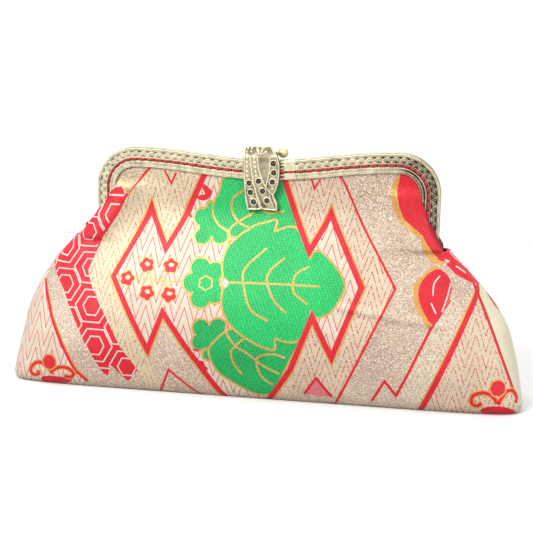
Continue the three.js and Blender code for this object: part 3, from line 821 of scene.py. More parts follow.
LEFT_TAN = [(126, 172), (146, 170), (131, 190), (128, 194), (119, 184)]
LEFT_GOLD = [(116, 180), (123, 184), (129, 194)]
BUDS = [(146.9, 264.8), (170.8, 265.8), (127.3, 278.2), (146.9, 292.5), (168.9, 294.5)]
BUD_STEMS = [[(136, 278), (160, 281), (184, 282)], [(146.9, 264.8), (152, 279)],
             [(170.8, 265.8), (160, 281)], [(146.9, 292.5), (152, 282)],
             [(168.9, 294.5), (164, 283)]]
RED_DASHES = [[(188, 213), (192, 217)], [(193, 349), (199, 351)]]
# Paulownia flowers: pixel and radius in millimetres of each round petal
FLOWERS = [
    ("green", [(192.5, 282.5, 5.6), (200.5, 267.5, 5.7), (215, 271, 5.2), (215, 294, 5.2),
               (200.5, 298, 5.7), (206, 283, 8.2)]),
    ("green", [(202.5, 217.5, 4.8), (210, 214, 4.2), (203, 236, 4.8), (220, 236, 4.6), (211, 225, 7),
               (211, 205.6, 2.0)]),
    ("dark_green", [(199.5, 342, 4.4), (201, 328, 4.8), (218, 328, 5.2), (210, 337, 6.8),
                    (208, 355, 3.0)]),
]
BIG_LEAF = [(228, 248), (223, 263), (224, 282), (222, 304), (227, 319), (235, 329), (243, 335.5),
            (252, 341), (262, 346), (274, 349), (274, 338), (285, 341), (297, 340.6), (304, 332),
            (309, 323), (310, 310), (314, 315), (318.6, 317), (330, 312), (338, 301), (344, 286.5),
            (340, 275), (329, 260), (321, 253), (314.7, 252), (309, 260), (306, 243), (296, 229),
            (287, 228), (274, 232), (276, 221), (267, 223), (258, 225), (251, 229), (243, 234),
            (237, 238.6)]
LEAF_VEINS = [[(229, 282.4), (275, 284), (319.8, 286.5)],
              [(266.7, 248), (246, 267), (243, 281), (250, 309), (268, 321)],
              [(285, 258), (270, 271), (267, 282), (274, 301), (286, 313)],
              [(309.6, 266.6), (297, 273), (293, 284.5), (295, 294), (307.6, 304.4)]]
UPPER_LEAF = [(229, 176), (220, 192), (214, 204), (214, 213), (217, 221), (223, 227), (229, 231),
              (233, 237), (243, 233), (258, 225), (267, 222), (276, 220), (275, 231), (287, 227),
              (296.5, 228), (290, 206), (284.5, 184), (283, 174)]
UPPER_VEIN = [(243, 190), (233, 198.4), (232, 210), (237, 220), (243, 225), (250, 228)]
UPPER_STEMS = [[(228.5, 246), (228, 238), (229.3, 231.3)]]
LOWER_LEAF = [(226, 332), (216, 341), (210, 348), (210, 356), (214, 365), (218, 371), (224, 376),
              (237, 384), (250, 391), (262, 394), (273, 392), (281, 376), (290, 358), (300, 340),
              (297, 341.5), (285, 342), (274, 339), (274, 350), (262, 347), (252, 342),
              (243, 336.5), (234, 330)]
LOWER_VEIN = [(235, 345.7), (230.7, 353), (234.3, 364.3), (242, 374.3)]
GOLD_STEMS = [[(228, 231), (237, 222.7), (254.3, 212)],
              [(261.4, 210.6), (271.4, 213.4), (284.3, 211.3)], [(222, 283), (229, 282.4)],
              [(226.4, 322), (226.4, 333), (235, 345.7), (246.4, 353), (255.7, 360)],
              [(243.6, 338.6), (235, 345.7)],
              [(255.7, 360), (260.7, 355.7), (273.6, 354.3), (285, 358)],
              [(255.7, 360), (265, 367), (279.3, 374)],
              [(255.7, 360), (258, 370), (263.6, 378.6), (273, 385)]]
RING_CENTRE = (205.7, 283)
SMALL_DIAMOND = [(221, 283), (225, 278.5), (229, 283), (225, 288)]
BALL_LEFT = (49.3, 362)
BALL_RIGHT = (498, 388.5)
SCROLLS = [[(50.7, 370.7), (45.7, 365.7), (40, 362), (34.3, 363.6), (30.7, 369.3), (33.6, 374.3),
            (38.6, 373.6), (38, 370)],
           [(50.7, 373.6), (54.3, 369.3), (61.4, 367), (68.6, 368.6), (73.6, 373.6), (70, 377),
            (64.3, 375.7)],
           [(497, 404), (494.3, 398.5), (487, 393.5), (478.6, 393.5), (472, 397), (472, 403.5),
            (477, 406), (481.4, 403)],
           [(498, 405), (501.4, 398.5), (507, 391.5), (512.9, 391), (516.5, 397), (515.5, 403)]]
LOW_REDS = [[(41.4, 377), (51.4, 375.7), (63, 377), (73, 378), (66, 383), (46, 382)],
            [(480, 410), (490, 406.6), (504.3, 407), (515, 411), (513, 416), (490, 416)]]
EDGE_REDS = [[(486, 292), (492, 296), (499, 307), (495, 306)]]
HALF_BUDS = [[(204.3, 184), (212, 191.3), (210, 197), (204.3, 200.6), (197, 198.4), (200, 195),
              (205, 194), (202, 187)],
             [(198, 360.7), (203, 361.4), (205, 365.7), (208, 368.6), (205.7, 371.4), (202, 369.3),
              (198, 365)]]
WHITE_LEFT = [(48, 272), (46, 280), (51, 314.6), (62, 345), (75, 370), (89, 383)]
CREAM_STRIP_LEFT = [(147.8, 170), (125, 197), (105.4, 230), (88, 270), (92.4, 287.5), (107.6, 321),
                    (119.5, 346), (138, 370), (147, 384), (162, 386), (147.3, 350), (113.5, 276),
                    (151.7, 207.4), (166, 248.5), (205, 172)]
CREAM_STRIP_RIGHT = [(283, 178), (309.3, 252), (331.2, 213.5), (361.4, 288), (331.3, 358),
                     (312, 317), (290, 392), (339, 397), (395.3, 289), (342.5, 174)]
NEXT_STRIP = [(450, 300), (431.8, 327), (396, 395.7), (423.3, 405.3), (477.2, 291.7)]
CHEVRON_FIELD = [(477.2, 291.7), (423.3, 408), (470, 424), (516, 424), (512, 386)]
PALE_FIELD = [(446, 250), (464, 268), (477, 291.7), (496, 340), (512, 386), (515, 406)]

ZIGZAG_WIDTH = 3.3
GOLD_EDGE = 0.9
LEAF_EDGE = 1.15
VEIN_WIDTH = 1.15
# Outer and inner hexagon of a cell, each as shares of the cell's width and height
HEXAGON = ((0.86, 0.86), (0.47, 0.5))
HEXAGON_LINE = 0.07
HEXAGON_COLUMNS = range(-4, 5)
HEXAGON_ROWS = range(-5, 5)
CLOTH_GRID = 1.75
GRID_CLEARANCE = 0.55
LONGEST_SIDE = 1.5
PANEL_SIDE = 175
FAR_DOWN = 170
PAST_LOWER_END = 22


def ribbon(line, width, shift=0.0):
    """The outline of a stripe along a line."""
    line = np.asarray(line, float)
    return np.vstack([offset(line, shift + width / 2), offset(line, shift - width / 2)[::-1]])


def refine(points):
    """The same closed outline with only short sides, so that it bends with the cloth."""
    made = []
    for start, end in zip(points, np.roll(points, -1, 0)):
        count = max(1, math.ceil(np.linalg.norm(end - start) / LONGEST_SIDE))
        made += [lerp(start, end, i / count) for i in range(count)]
    return np.array(made)


def petals(centre, radius, count, depth, start=0.0, squash=1.0):
    """The outline of a round flower with notched petals."""
    angles = np.linspace(0, TURN, 6 * count, endpoint=False)
    size = radius * (1 - depth * np.abs(np.cos((angles + start) * count / 2)) ** 4)
    return centre + np.stack([size * np.cos(angles), squash * size * np.sin(angles)], 1)


# Painting order of the cloth: (kind, outline in the flat cloth, outline that cuts it off)
zones = []


def zone(kind, *stretches, clip=None):
    """Covers the inside of an outline, given as stretches of points, with a kind of cloth."""
    zones.append((kind, np.vstack(stretches), clip))


def area(kind, pixels, curved=0):
    flat = on_cloth(pixels)
    if curved:
        flat = curve_through(flat, curved, closed=True)
    zone(kind, flat)
    return flat


def stripe(kind, pixels, width, shift=0.0, curved=0, ends=0.0):
    flat = on_cloth(pixels)
    if curved:
        flat = curve_through(flat, curved)
    if ends:
        flat[0] += ends * unit(flat[0] - flat[1])
        flat[-1] += ends * unit(flat[-1] - flat[-2])
    zone(kind, ribbon(flat, width, shift))


def stripes(kind, lines, width, **settings):
    for line in lines:
        stripe(kind, line, width, **settings)


def paint_fields():
    """The large fields, of which the outer ones run on to the sides of the panel."""
    area("cream", CREAM_STRIP_LEFT)
    area("rose", CREAM_STRIP_RIGHT)
    area("strip", NEXT_STRIP)
    area("rose", CHEVRON_FIELD)
    pale, white = on_cloth(PALE_FIELD), on_cloth(WHITE_LEFT)
    zone("pale", pale, (PANEL_SIDE, pale[-1, 1]), (PANEL_SIDE, pale[0, 1]))
    zone("white", white, (-120, FAR_DOWN), (-PANEL_SIDE, FAR_DOWN), (-PANEL_SIDE, white[0, 1]))


def diamond_lines():
    """Both zigzag lines beside the middle diamonds, from the frame to the base."""
    left, right = on_cloth(DIAMOND_LEFT), on_cloth(DIAMOND_RIGHT)
    left[0], right[0] = (left[0][0] + 4, 0), (right[0][0] - 2, 0)
    for line in (left, right):
        line[-1] += PAST_LOWER_END * unit(line[-1] - line[-2])
    return left, right


def paint_thin_zigzags():
    """The single zigzag lines and small peaks around the diamonds."""
    stripe("red", THIN_RIGHT, 1.5, ends=14)
    stripe("red", NEXT_RIGHT, 1.6)
    stripe("red", LOW_LEFT, 2.0)
    stripe("gold", LOW_LEFT, 0.8, shift=-1.4)
    stripe("red", THICK_RIGHT, ZIGZAG_WIDTH, ends=6)
    stripe("gold", THICK_RIGHT, GOLD_EDGE, shift=2.0)
    stripe("red", EDGE_RIGHT, 1.8, ends=6)
    stripes("red", SMALL_PEAKS, 1.2)
    stripe("red", LOW_PEAK, 1.4, ends=10)
    area("pink", PINK_PEAK)
    stripe("red", PINK_PEAK, 1.6)


def paint_hexagons():
    """The red strip with its net of double hexagons, and the thin line beside it."""
    strip = area("red", KIKKO)
    cell, below, upper_left, lower_right = on_cloth(KIKKO_CELLS)
    row_step, column_step = below - cell, (lower_right - upper_left) / 2
    half_wide, half_tall = abs(column_step[0]) / 1.5, row_step[1] / 2
    corners = np.array([(-1, 0), (-0.5, -1), (0.5, -1), (1, 0), (0.5, 1), (-0.5, 1)])
    for column in HEXAGON_COLUMNS:
        for row in HEXAGON_ROWS:
            centre = cell + column * column_step + row * row_step
            for across, down in HEXAGON:
                for grow, kind in ((0, "line"), (HEXAGON_LINE, "red")):
                    size = (half_wide * (across - grow), half_tall * (down - grow))
                    zone(kind, centre + corners * size, clip=strip)
    stripe("red", THIN_LEFT, 1.7, ends=3)


def paint_cartouches():
    """The red shapes with gold edges at the upper right and upper left."""
    area("gold", CARTOUCHE_GOLD + CARTOUCHE_RED[::-1])
    edge = on_cloth(CARTOUCHE_RED)
    edge[0, 1] = 0
    zone("red", edge, edge[-1] + (25, 0), edge[0] + (45, 0))
    area("gold", LOBE_GOLD + LOBE_RED[:4:-1], curved=3)
    area("red", LOBE_RED, curved=3)
    stripes("line", LOBE_STROKES, 0.9, curved=3)
    area("red", RIGHT_RED)
    stripes("line", RIGHT_STROKES, 0.7)
    area("tan", LEFT_TAN)
    stripe("gold", LEFT_GOLD, 1.2, curved=4)


def paint_leaves():
    """Flowers of round petals and the large leaves, each with a gold edge."""
    for tone, parts in FLOWERS:
        centres = on_cloth([part[:2] for part in parts])
        for kind, grow in (("gold", LEAF_EDGE), (tone, 0)):
            for centre, part in zip(centres, parts):
                zone(kind, petals(centre, part[2] + grow, 4, 0))
    for leaf, tone in ((UPPER_LEAF, "green"), (LOWER_LEAF, "dark_green"), (BIG_LEAF, "green")):
        shape = curve_through(on_cloth(leaf), 3, closed=True)
        way = np.sign(np.sum(cross(shape, np.roll(shape, -1, 0))))
        zone("gold", offset(shape, -LEAF_EDGE * way, closed=True))
        zone(tone, shape)


def paint_thick_zigzags(left, right):
    """The thick red lines with their gold edges, over the leaves."""
    for line, inner in ((left, 1), (right, -1)):
        zone("red", ribbon(line, ZIGZAG_WIDTH))
        zone("gold", ribbon(line, GOLD_EDGE, inner * (ZIGZAG_WIDTH + GOLD_EDGE) / 2))


def paint_small_parts():
    """Veins, stems, buds, dashes, and the scrolls and balls at the lower corners."""
    veins = [*LEAF_VEINS, UPPER_VEIN, LOWER_VEIN, *GOLD_STEMS, *BUD_STEMS, *UPPER_STEMS]
    stripes("gold", veins, VEIN_WIDTH, curved=4)
    ring = on_cloth([RING_CENTRE])[0]
    for radius, kind in ((4.6, "gold"), (3.8, "green")):
        zone(kind, petals(ring, radius, 6, 0.18))
    shape = on_cloth(SMALL_DIAMOND)
    zone("gold", shape + 0.2 * (shape - shape.mean(0)))
    zone("line", shape)
    for i, centre in enumerate(on_cloth(BUDS)):
        heart = centre + (0.3, -0.6)
        zone("gold", petals(centre, 5.2, 5, 0.2, start=i))
        zone("red", petals(centre, 4.6, 5, 0.24, start=i))
        zone("gold", petals(heart, 1.9, 2, 0.2, start=i + 0.6, squash=0.8))
        zone("line", petals(heart, 1.4, 2, 0.2, start=i + 0.6, squash=0.7))
    stripes("red", RED_DASHES, 1.4)
    for pixels in LOW_REDS + EDGE_REDS + HALF_BUDS:
        area("red", pixels, curved=3)
    stripes("gold", SCROLLS, 3.3, curved=4)
    stripes("red", SCROLLS, 1.9, curved=4)
    for centre in on_cloth([BALL_LEFT, BALL_RIGHT]):
        zone("gold", petals(centre, 5.2, 7, 0.06))
        zone("red", petals(centre, 4.4, 7, 0.06))


def paint_cloth():
    """All zones, from the fields below to the small parts on top."""
    paint_fields()
    left, right = diamond_lines()
    zone("white", left, right[::-1])
    paint_thin_zigzags()
    paint_hexagons()
    paint_cartouches()
    paint_leaves()
    paint_thick_zigzags(left, right)
    paint_small_parts()


def at_hinge(places):
    """Places between the row that ends in the channel and the row that ends at the side seam."""
    rows, columns = table_place(places)
    beyond = np.abs(columns - MIDDLE) > MAIN_COLUMNS
    return (rows > HINGE_ROW - 1) & (rows < HINGE_ROW) & beyond


def cloth_mesh():
    """Flat triangles of the panel with the kind of cloth of each."""
    left = np.column_stack([-row_lengths[:, 0] - row_lengths[:, 1], row_downs])
    right = np.column_stack([row_lengths[:, 2] + row_lengths[:, 3], row_downs])
    border = np.vstack([left, right[::-1]])
    low, high = border.min(0), border.max(0)
    margin = 2
    grid = hex_grid(low, high, CLOTH_GRID)
    rings = [border]
    shapes = [(kind, np.clip(shape, low - margin, high + margin), clip)
              for kind, shape, clip in zones]
    for _, shape, clip in shapes:
        if inside(shape, border).any() and (clip is None or inside(shape, clip).any()):
            rings.append(refine(shape))
    flat, triangles = triangulate(rings, grid[inside(grid, border)], GRID_CLEARANCE)
    centres = flat[triangles].mean(1)
    keep = inside(centres, border) & ~at_hinge(centres)
    triangles, centres = triangles[keep], centres[keep]
    kinds = np.full(len(triangles), kind_index["ground"])
    for kind, shape, clip in shapes:
        hit = inside(centres, shape)
        if clip is not None:
            hit &= inside(centres, clip)
        kinds[hit] = kind_index[kind]
    used, renumbered = np.unique(triangles, return_inverse=True)
    return flat[used], renumbered.reshape(-1, 3), kinds


def turn_faces(triangles, points, toward):
    """Triangles whose faces look, on the whole, in a direction."""
    corners = points[triangles]
    normal = np.cross(corners[:, 1] - corners[:, 0], corners[:, 2] - corners[:, 0]).sum(0)
    return triangles if normal @ np.array(toward) > 0 else triangles[:, ::-1]


def lining_points(gap):
    """Every second point of the panel, moved inwards by the thickness of the cloth."""
    normal = np.cross(np.gradient(cloth, axis=1), np.gradient(cloth, axis=0))
    normal /= np.linalg.norm(normal, axis=2)[..., None] + TINY
    normal *= np.where(normal[..., 1:2] < 0, -1, 1)
    calm = smooth(0.2, 3.0, -cloth[..., 1])[..., None]
    moved = cloth + gap * normal * calm
    moved[..., 2] = np.maximum(moved[..., 2], gap * smooth(0, 4, np.abs(moved[..., 1])))
    moved[..., 1] = np.minimum(moved[..., 1], -LINING_SEAM_GAP)
    return moved[::2, ::2]


def quads(rows, columns, closed=False):
    """Faces of a net of points; a closed one joins each row's end to its start."""
    return [(r * columns + c, r * columns + (c + 1) % columns,
             (r + 1) * columns + (c + 1) % columns, (r + 1) * columns + c)
            for r in range(rows - 1) for c in range(columns if closed else columns - 1)]


# Gap between the cloth and its lining, gaps that keep both off the side seam, and rows of the lining's
# slit at the hinge
LINING_GAP = 1.3
LINING_SEAM_GAP = 0.3
SEAM_GAP = 0.02
HINGE_SLIT_ROWS = 3

paint_cloth()
flat_points, cloth_triangles, cloth_zones = cloth_mesh()
cloth_points = sample(cloth, *table_place(flat_points))
cloth_points[:, 1] = np.minimum(cloth_points[:, 1], -SEAM_GAP)
cloth_points[:, 2] = np.maximum(cloth_points[:, 2], BASE_LEVEL)
cloth_triangles = turn_faces(cloth_triangles, cloth_points, (0, -1, 0))
flat_vectors = np.column_stack([flat_points, np.zeros(len(flat_points))])

lining = lining_points(LINING_GAP)
lining_flat = np.dstack([full_table[::2, ::2, 3:5], np.zeros(lining.shape[:2])]).reshape(-1, 3)
lining_faces = np.array(quads(*lining.shape[:2]))
lining_rows, lining_columns = np.divmod(lining_faces[:, 0], lining.shape[1])
slit = (2 * lining_rows >= HINGE_ROW - HINGE_SLIT_ROWS) & (2 * lining_rows < HINGE_ROW)
slit &= np.abs(2 * lining_columns + 1 - MIDDLE) > MAIN_COLUMNS
lining_faces = lining_faces[~slit]

for side, way in (("front", 1), ("back", -1)):
    mirror = np.array((1, way, 1))
    shell = make_piece("brocade_" + side, cloth_points * mirror, cloth_triangles[:, ::way],
                       list(cloth_kinds.values()), cloth_zones, [("flat", flat_vectors)])
    inner = make_piece("lining_" + side, lining.reshape(-1, 3) * mirror, lining_faces[:, ::way],
                       [lining_satin], None, [("flat", lining_flat)])
    for piece, kind in ((shell, "brocade"), (inner, "lining")):
        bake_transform(piece)
        nodes = [f"{kind}_{side}_top"] + ([kind + "_pouch"] if side == "front" else [])
        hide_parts(*nodes)

# Metal frame
brass = metal_shader("antique_brass", paint(216, 206, 176), paint(60, 49, 34))
polished = metal_shader("rubbed_brass", paint(220, 206, 160), paint(120, 104, 70), scratch=0.5)
FACE_STEP = 0.34
FACE_LOW = -3.0
FACE_HIGH = FRAME_FACE - 0.45
EDGE_STEPS = [-2.4, -1.6, -0.8, -0.2]
FACE_CLEARANCE = 0.16
PLAIN_EDGE = -0.3
MILGRAIN_PITCH = 0.95
SCROLL_PERIOD = 5.0
SCROLL_MIDDLE = 3.75
SCROLL_BAND = (1.7, 5.6)
STEM_WIDTH = 0.24
SPIRAL_WIDTH = 0.22
LEAF_WIDTH = 0.26
SCROLL_HEIGHT = 0.36
SCROLL_SINK = 0.12
# Stretches right of the middle with other ornaments, in millimetres along the outline
BLOCK = (12.0, 18.2)
NOTCHES = (9.4, 11.8)
NOTCH_PITCH = 1.9
BORDER_FADE = 0.3
ROUND_START = EDGE_ROUND * (1 - math.pi / 2)
OUTER_START = HALF_DEPTH - EDGE_ROUND + (FACE_LOW - ROUND_START)
# The right arm gets painted shade, darker between these distances from the middle, inside these insets
SHADED_ARM = (60, 96)
SHADED_INSETS = (1.6, 2.2)
FOOT_LENGTH = 6.6
FOOT_END = 6.8
RING_STEP = 2.0
CORD_SIDES = 8
CORD_TWIST = 0.3
HANDS = ((-1, "left"), (1, "right"))
SIDES = (("front", -1), ("back", 1))


def metal_piece(name, points, faces, material, relief):
    relief = np.broadcast_to(relief, len(points))
    return make_piece(name, points, faces, [material], None, [("relief", relief)])


def join(parts):
    """Several (points, faces) as one."""
    points, faces, count = [], [], 0
    for some_points, some_faces in parts:
        points.append(some_points)
        faces += [[count + i for i in face] for face in some_faces]
        count += len(some_points)
    return np.vstack(points), faces


def scroll_lines():
    """One repeat of the running vine: its stem, two spirals and small leaves, as (line, width)."""
    along = np.linspace(0, SCROLL_PERIOD, 25)
    stem = np.stack([along, SCROLL_MIDDLE + 1.2 * np.sin(TURN / SCROLL_PERIOD * along)], 1)
    made = [(stem, STEM_WIDTH)]
    for centre, way in ((0.25, 1), (0.75, -1)):
        middle = np.array([centre * SCROLL_PERIOD, SCROLL_MIDDLE - 0.5 * way])
        angles = np.linspace(0.0, 5.2, 18)
        size = 0.95 - 0.15 * angles
        spiral = np.stack([size * np.cos(angles), way * size * np.sin(angles)], 1)
        made.append((middle + spiral, SPIRAL_WIDTH))
        tip = np.array([(centre + 0.2) * SCROLL_PERIOD, SCROLL_MIDDLE + 0.9 * way])
        made.append((np.array([tip, tip + (0.6, 0.5 * way)]), LEAF_WIDTH))
        made.append((np.array([tip + (-0.2, 0.2 * way), tip + (-0.7, 0.7 * way)]), LEAF_WIDTH))
    return made


def face_relief(along, inset):
    """Height of the stamped ornament on the frame's face, in millimetres."""
    points = np.stack([along % SCROLL_PERIOD, inset], 1)
    height = np.zeros(len(points))
    for line, width in scroll_lines():
        for shift in (-SCROLL_PERIOD, 0, SCROLL_PERIOD):
            gap = line_distance(points, line + (shift, 0))
            height = np.maximum(height, SCROLL_HEIGHT * np.exp(-(gap / width) ** 2))
    plain = (inset < SCROLL_BAND[0]) | (inset > SCROLL_BAND[1])
    height = np.where(plain, 0, height - SCROLL_SINK)

    def band(middle, width, size):
        return size * np.exp(-((inset - middle) / width) ** 2)

    def beads(middle, radius, size):
        step = (along / MILGRAIN_PITCH) % 1 - 0.5
        return size * dome(np.hypot(step * MILGRAIN_PITCH, inset - middle) / radius)

    height += (beads(0.6, 0.55, 0.5) - 0.24) * (inset < 1.3)
    height += band(1.5, 0.22, 0.2) + band(5.75, 0.28, 0.26) - band(STITCH_LINE, 0.8, 0.22)
    height += beads(8.3, 0.48, 0.5) - band(8.3, 0.42, 0.22) + band(9.2, 0.35, 0.08)
    height += beads(10.1, 0.46, 0.46) - band(10.1, 0.4, 0.2)
    height += band(10.9, 0.3, 0.16)

    right = along - OUTLINE_LENGTH / 2
    block = smooth(BLOCK[0], BLOCK[0] + BORDER_FADE, right)
    block = block * (1 - smooth(BLOCK[1], BLOCK[1] + BORDER_FADE, right))
    notches = smooth(NOTCHES[0], NOTCHES[0] + BORDER_FADE, right)
    notches = notches * (1 - smooth(NOTCHES[1] - BORDER_FADE, NOTCHES[1], right))
    height = lerp(height, 0.16 + 0.25 * (height - 0.1), block)
    return lerp(height, -0.35 * (np.cos(inset * TURN / NOTCH_PITCH) > 0) + 0.12, notches)


def stitch_places():
    """Distances along the outline of the sewing holes."""
    step = HOLE_PITCH / OUTLINE_LENGTH
    limit = 0.5 - HOLE_END_MARGIN / OUTLINE_LENGTH
    right = np.arange(step / 2, limit, step)
    return OUTLINE_LENGTH * (0.5 + np.concatenate([-right[::-1], right]))


hole_places = stitch_places()


def frame_face():
    """The ornamented face with its sewing holes, as flat triangles over (along, across)."""
    widths = [*EDGE_STEPS, *np.arange(0.4, FACE_HIGH, FACE_STEP)]
    grid = [(a, w) for a in np.arange(FACE_STEP, OUTLINE_LENGTH, FACE_STEP) for w in widths]
    edge = [(a, FACE_LOW) for a in (*np.arange(0, OUTLINE_LENGTH, 1.0), OUTLINE_LENGTH)]
    edge += [(a, FACE_HIGH) for a in (*np.arange(OUTLINE_LENGTH, 0, -1.0), 0)]
    ring = circle(HOLE_RADIUS, 0, 360, 10, closed=True)
    holes = [ring + (place, STITCH_LINE) for place in hole_places]
    flat, triangles = triangulate([edge, *holes], np.array(grid), FACE_CLEARANCE)
    centres = flat[triangles].mean(1)
    nearest = np.abs(centres[:, :1] - hole_places).argmin(1)
    gap = np.hypot(centres[:, 0] - hole_places[nearest], centres[:, 1] - STITCH_LINE)
    return flat, triangles[gap > HOLE_RADIUS * 0.94]


def face_point(across):
    """Places and outward directions on the frame's outer side: across < 0 runs down the edge."""
    angle = np.clip((across - ROUND_START) / EDGE_ROUND, 0, math.pi / 2)
    inset = np.where(across < EDGE_ROUND, EDGE_ROUND * (1 - np.cos(angle)), across)
    depth = HALF_DEPTH - EDGE_ROUND + EDGE_ROUND * np.sin(angle)
    depth = depth + np.minimum(across - ROUND_START, 0)
    return inset, depth, np.stack([-np.cos(angle), np.sin(angle)], 1)


def stamped_face(way):
    """Points, faces and shade of the ornamented face."""
    flat, triangles = frame_face()
    along, across = flat.T
    inset, depth, outward = face_point(across)
    relief = face_relief(along, np.maximum(across, inset))
    relief[across < PLAIN_EDGE] = 0
    edge = on_frame(along, inset + relief * outward[:, 0])
    depth = depth + relief * outward[:, 1]
    points = np.column_stack([edge[:, 0], way * depth, edge[:, 1]])
    # Painted shade: on the right arm the face is made darker, and its ground between the ornament darker
    # still
    dark = smooth(*SHADED_ARM, on_frame(along, 0)[:, 0]) * smooth(*SHADED_INSETS, across)
    shade = smooth(-0.24 + 0.27 * dark, 0.24 + 0.02 * dark, relief) * 0.9 + 0.1 - 0.14 * dark
    return points, turn_faces(triangles, points, (0, way, 0)).tolist(), shade


def channel_section(side, foot):
    """The channel from the end of the face round to its outer edge, as (inset, depth)."""
    leg = SHEET + 0.02 if foot else INNER_LEG
    wall_end = FACE_BACK - 0.1 if foot and side == "back" else INNER_FACE
    wall_top = min(wall_end + SHEET, FACE_BACK)
    return [(FACE_HIGH, HALF_DEPTH), (FRAME_FACE - 0.1, HALF_DEPTH - 0.12),
            (FRAME_FACE, HALF_DEPTH - 0.4), (FRAME_FACE - 0.1, HALF_DEPTH - 0.68),
            (FRAME_FACE - 0.4, FACE_BACK), (SHEET, FACE_BACK), (SHEET, wall_top), (leg, wall_top),
            (leg, wall_end), (0.25, wall_end), (0, wall_end + 0.25),
            (0, max(OUTER_START, wall_end + 0.3))]


def channel(side, way):
    """Points, faces and shade of the bent channel behind the face."""
    ends = [0, 3, FOOT_LENGTH]
    stops = [*ends, *np.arange(FOOT_END, OUTLINE_LENGTH - FOOT_END, RING_STEP),
             *(OUTLINE_LENGTH - np.array([FOOT_END, *ends[::-1]]))]
    rings = []
    for along in stops:
        foot = min(along, OUTLINE_LENGTH - along) < (FOOT_LENGTH + FOOT_END) / 2
        inset, depth = np.array(channel_section(side, foot)).T
        places = on_frame(along, inset)
        rings.append(np.column_stack([places[:, 0], way * depth, places[:, 1]]))
    size = len(rings[0])
    points = np.vstack(rings)
    faces = [face[::-way] for face in quads(len(rings), size)]
    last = len(points) - size
    faces += [list(range(size))[::way], list(range(last, len(points)))[::-way]]
    # Painted shade: the back of the face, seen through the sewing holes, is made darkest so that the
    # holes look dark
    behind_holes = np.isin(np.arange(size), (4, 5))
    return points, faces, np.tile(np.where(behind_holes, -1.0, 0.6), len(rings))


def frame_half(side, way):
    """One half of the frame: ornamented face and channel."""
    face_points, face_triangles, face_shade = stamped_face(way)
    points, faces, shade = channel(side, way)
    points, faces = join([(face_points, face_triangles), (points, faces)])
    return metal_piece(side + "_frame_metal", points, faces, brass,
                       np.concatenate([face_shade, shade]))


def rounded_solid(name, first, second, material, relief, rounding, segments, angle):
    """A solid between two rings of the same count, with rounded edges."""
    count = len(first)
    faces = [list(range(count))[::-1], list(range(count, 2 * count))]
    faces += [(i, (i + 1) % count, (i + 1) % count + count, i + count) for i in range(count)]
    piece = metal_piece(name, [*first, *second], faces, material, relief)
    bevel = piece.modifiers.new("edge", "BEVEL")
    bevel.width = rounding * MM
    bevel.segments = segments
    bevel.angle_limit = math.radians(angle)
    return piece


def side_plate(name, outline_yz, x_low, x_high, rounding):
    """A flat plate with rounded edges, cut across X."""
    first, second = ([(x, y, z) for y, z in outline_yz] for x in (x_low, x_high))
    return rounded_solid(name, first, second, polished, 0.5, rounding, 3, 40)


def soft_box(name, low, high, rounding, taper=1.0):
    """A rounded block whose top is narrower by a factor."""
    low, high = np.array(low, float), np.array(high, float)
    middle, half = (low + high) / 2, (high - low) / 2
    first, second = ([(middle[0] + x * half[0] * scale, middle[1] + y * half[1] * scale, z)
                      for x, y in ((-1, -1), (1, -1), (1, 1), (-1, 1))]
                     for z, scale in ((low[2], 1.0), (high[2], taper)))
    return rounded_solid(name, first, second, brass, 0.6, rounding, 4, 30)


def turned_piece(name, profile, centre, axis, steps=32, shade=0.75):
    """A turned shape of rubbed brass: profile is (radius, distance along the axis)."""
    profile = np.asarray(profile, float)
    axis = unit(np.array(axis, float))
    side = unit(np.cross(axis, (0.3, 0.5, 0.8)))
    other = np.cross(axis, side)
    turn = circle(1, 0, 360, steps, closed=True)
    around = turn[:, :1] * side + turn[:, 1:] * other
    points = np.array(centre) + profile[:, None, 1:] * axis + profile[:, None, :1] * around
    points = points.reshape(-1, 3)
    faces = quads(len(profile), steps, closed=True)
    faces += [list(range(steps))[::-1], list(range(len(points) - steps, len(points)))]
    return metal_piece(name, points, faces, polished, shade)


def cord(line, radius):
    """Points and faces of a round cord along a line, with closed ends."""
    line = np.asarray(line, float)
    tangent = np.gradient(line, axis=0)
    tangent /= np.linalg.norm(tangent, axis=1)[:, None]
    side = np.cross(tangent, (0.13, 0.97, 0.21))
    side /= np.linalg.norm(side, axis=1)[:, None]
    other = np.cross(tangent, side)
    angles = np.linspace(0, TURN, CORD_SIDES, endpoint=False)
    angles = (angles + CORD_TWIST * np.arange(len(line))[:, None])[..., None]
    points = line[:, None] + radius * (np.cos(angles) * side[:, None] + np.sin(angles) * other[:, None])
    points = points.reshape(-1, 3)
    faces = [(a, d, c, b) for a, b, c, d in quads(len(line), CORD_SIDES, closed=True)]
    faces += [tuple(range(CORD_SIDES)),
              tuple(range(len(points) - CORD_SIDES, len(points)))[::-1]]
    return points, faces


# Hinge ears: both halves have one at each end, and a step leads to the back half's inner ear
EAR_POINTS = 14
EAR_TOP = {"front": 95.4, "back": 98.4}
EAR_OUTER = {"front": HALF_WIDTH, "back": HALF_WIDTH - SHEET - EAR_GAP}
STEP_FROM = 95.3
STEP_OUTER = HALF_WIDTH - 0.4


def ear_outline(side):
    top = EAR_TOP[side]
    if side == "front":
        arc = circle(EAR_RADIUS, -110, 75, EAR_POINTS) + (0, HINGE_HEIGHT)
        return np.vstack([[(0.2, top), (-4.3, top), (-4.3, 88.6), (-2.9, 87.2)], arc])
    arc = circle(EAR_RADIUS, 110, 355, EAR_POINTS) + (0, HINGE_HEIGHT)
    return np.vstack([(0.3, top), arc, (EAR_RADIUS, top)])


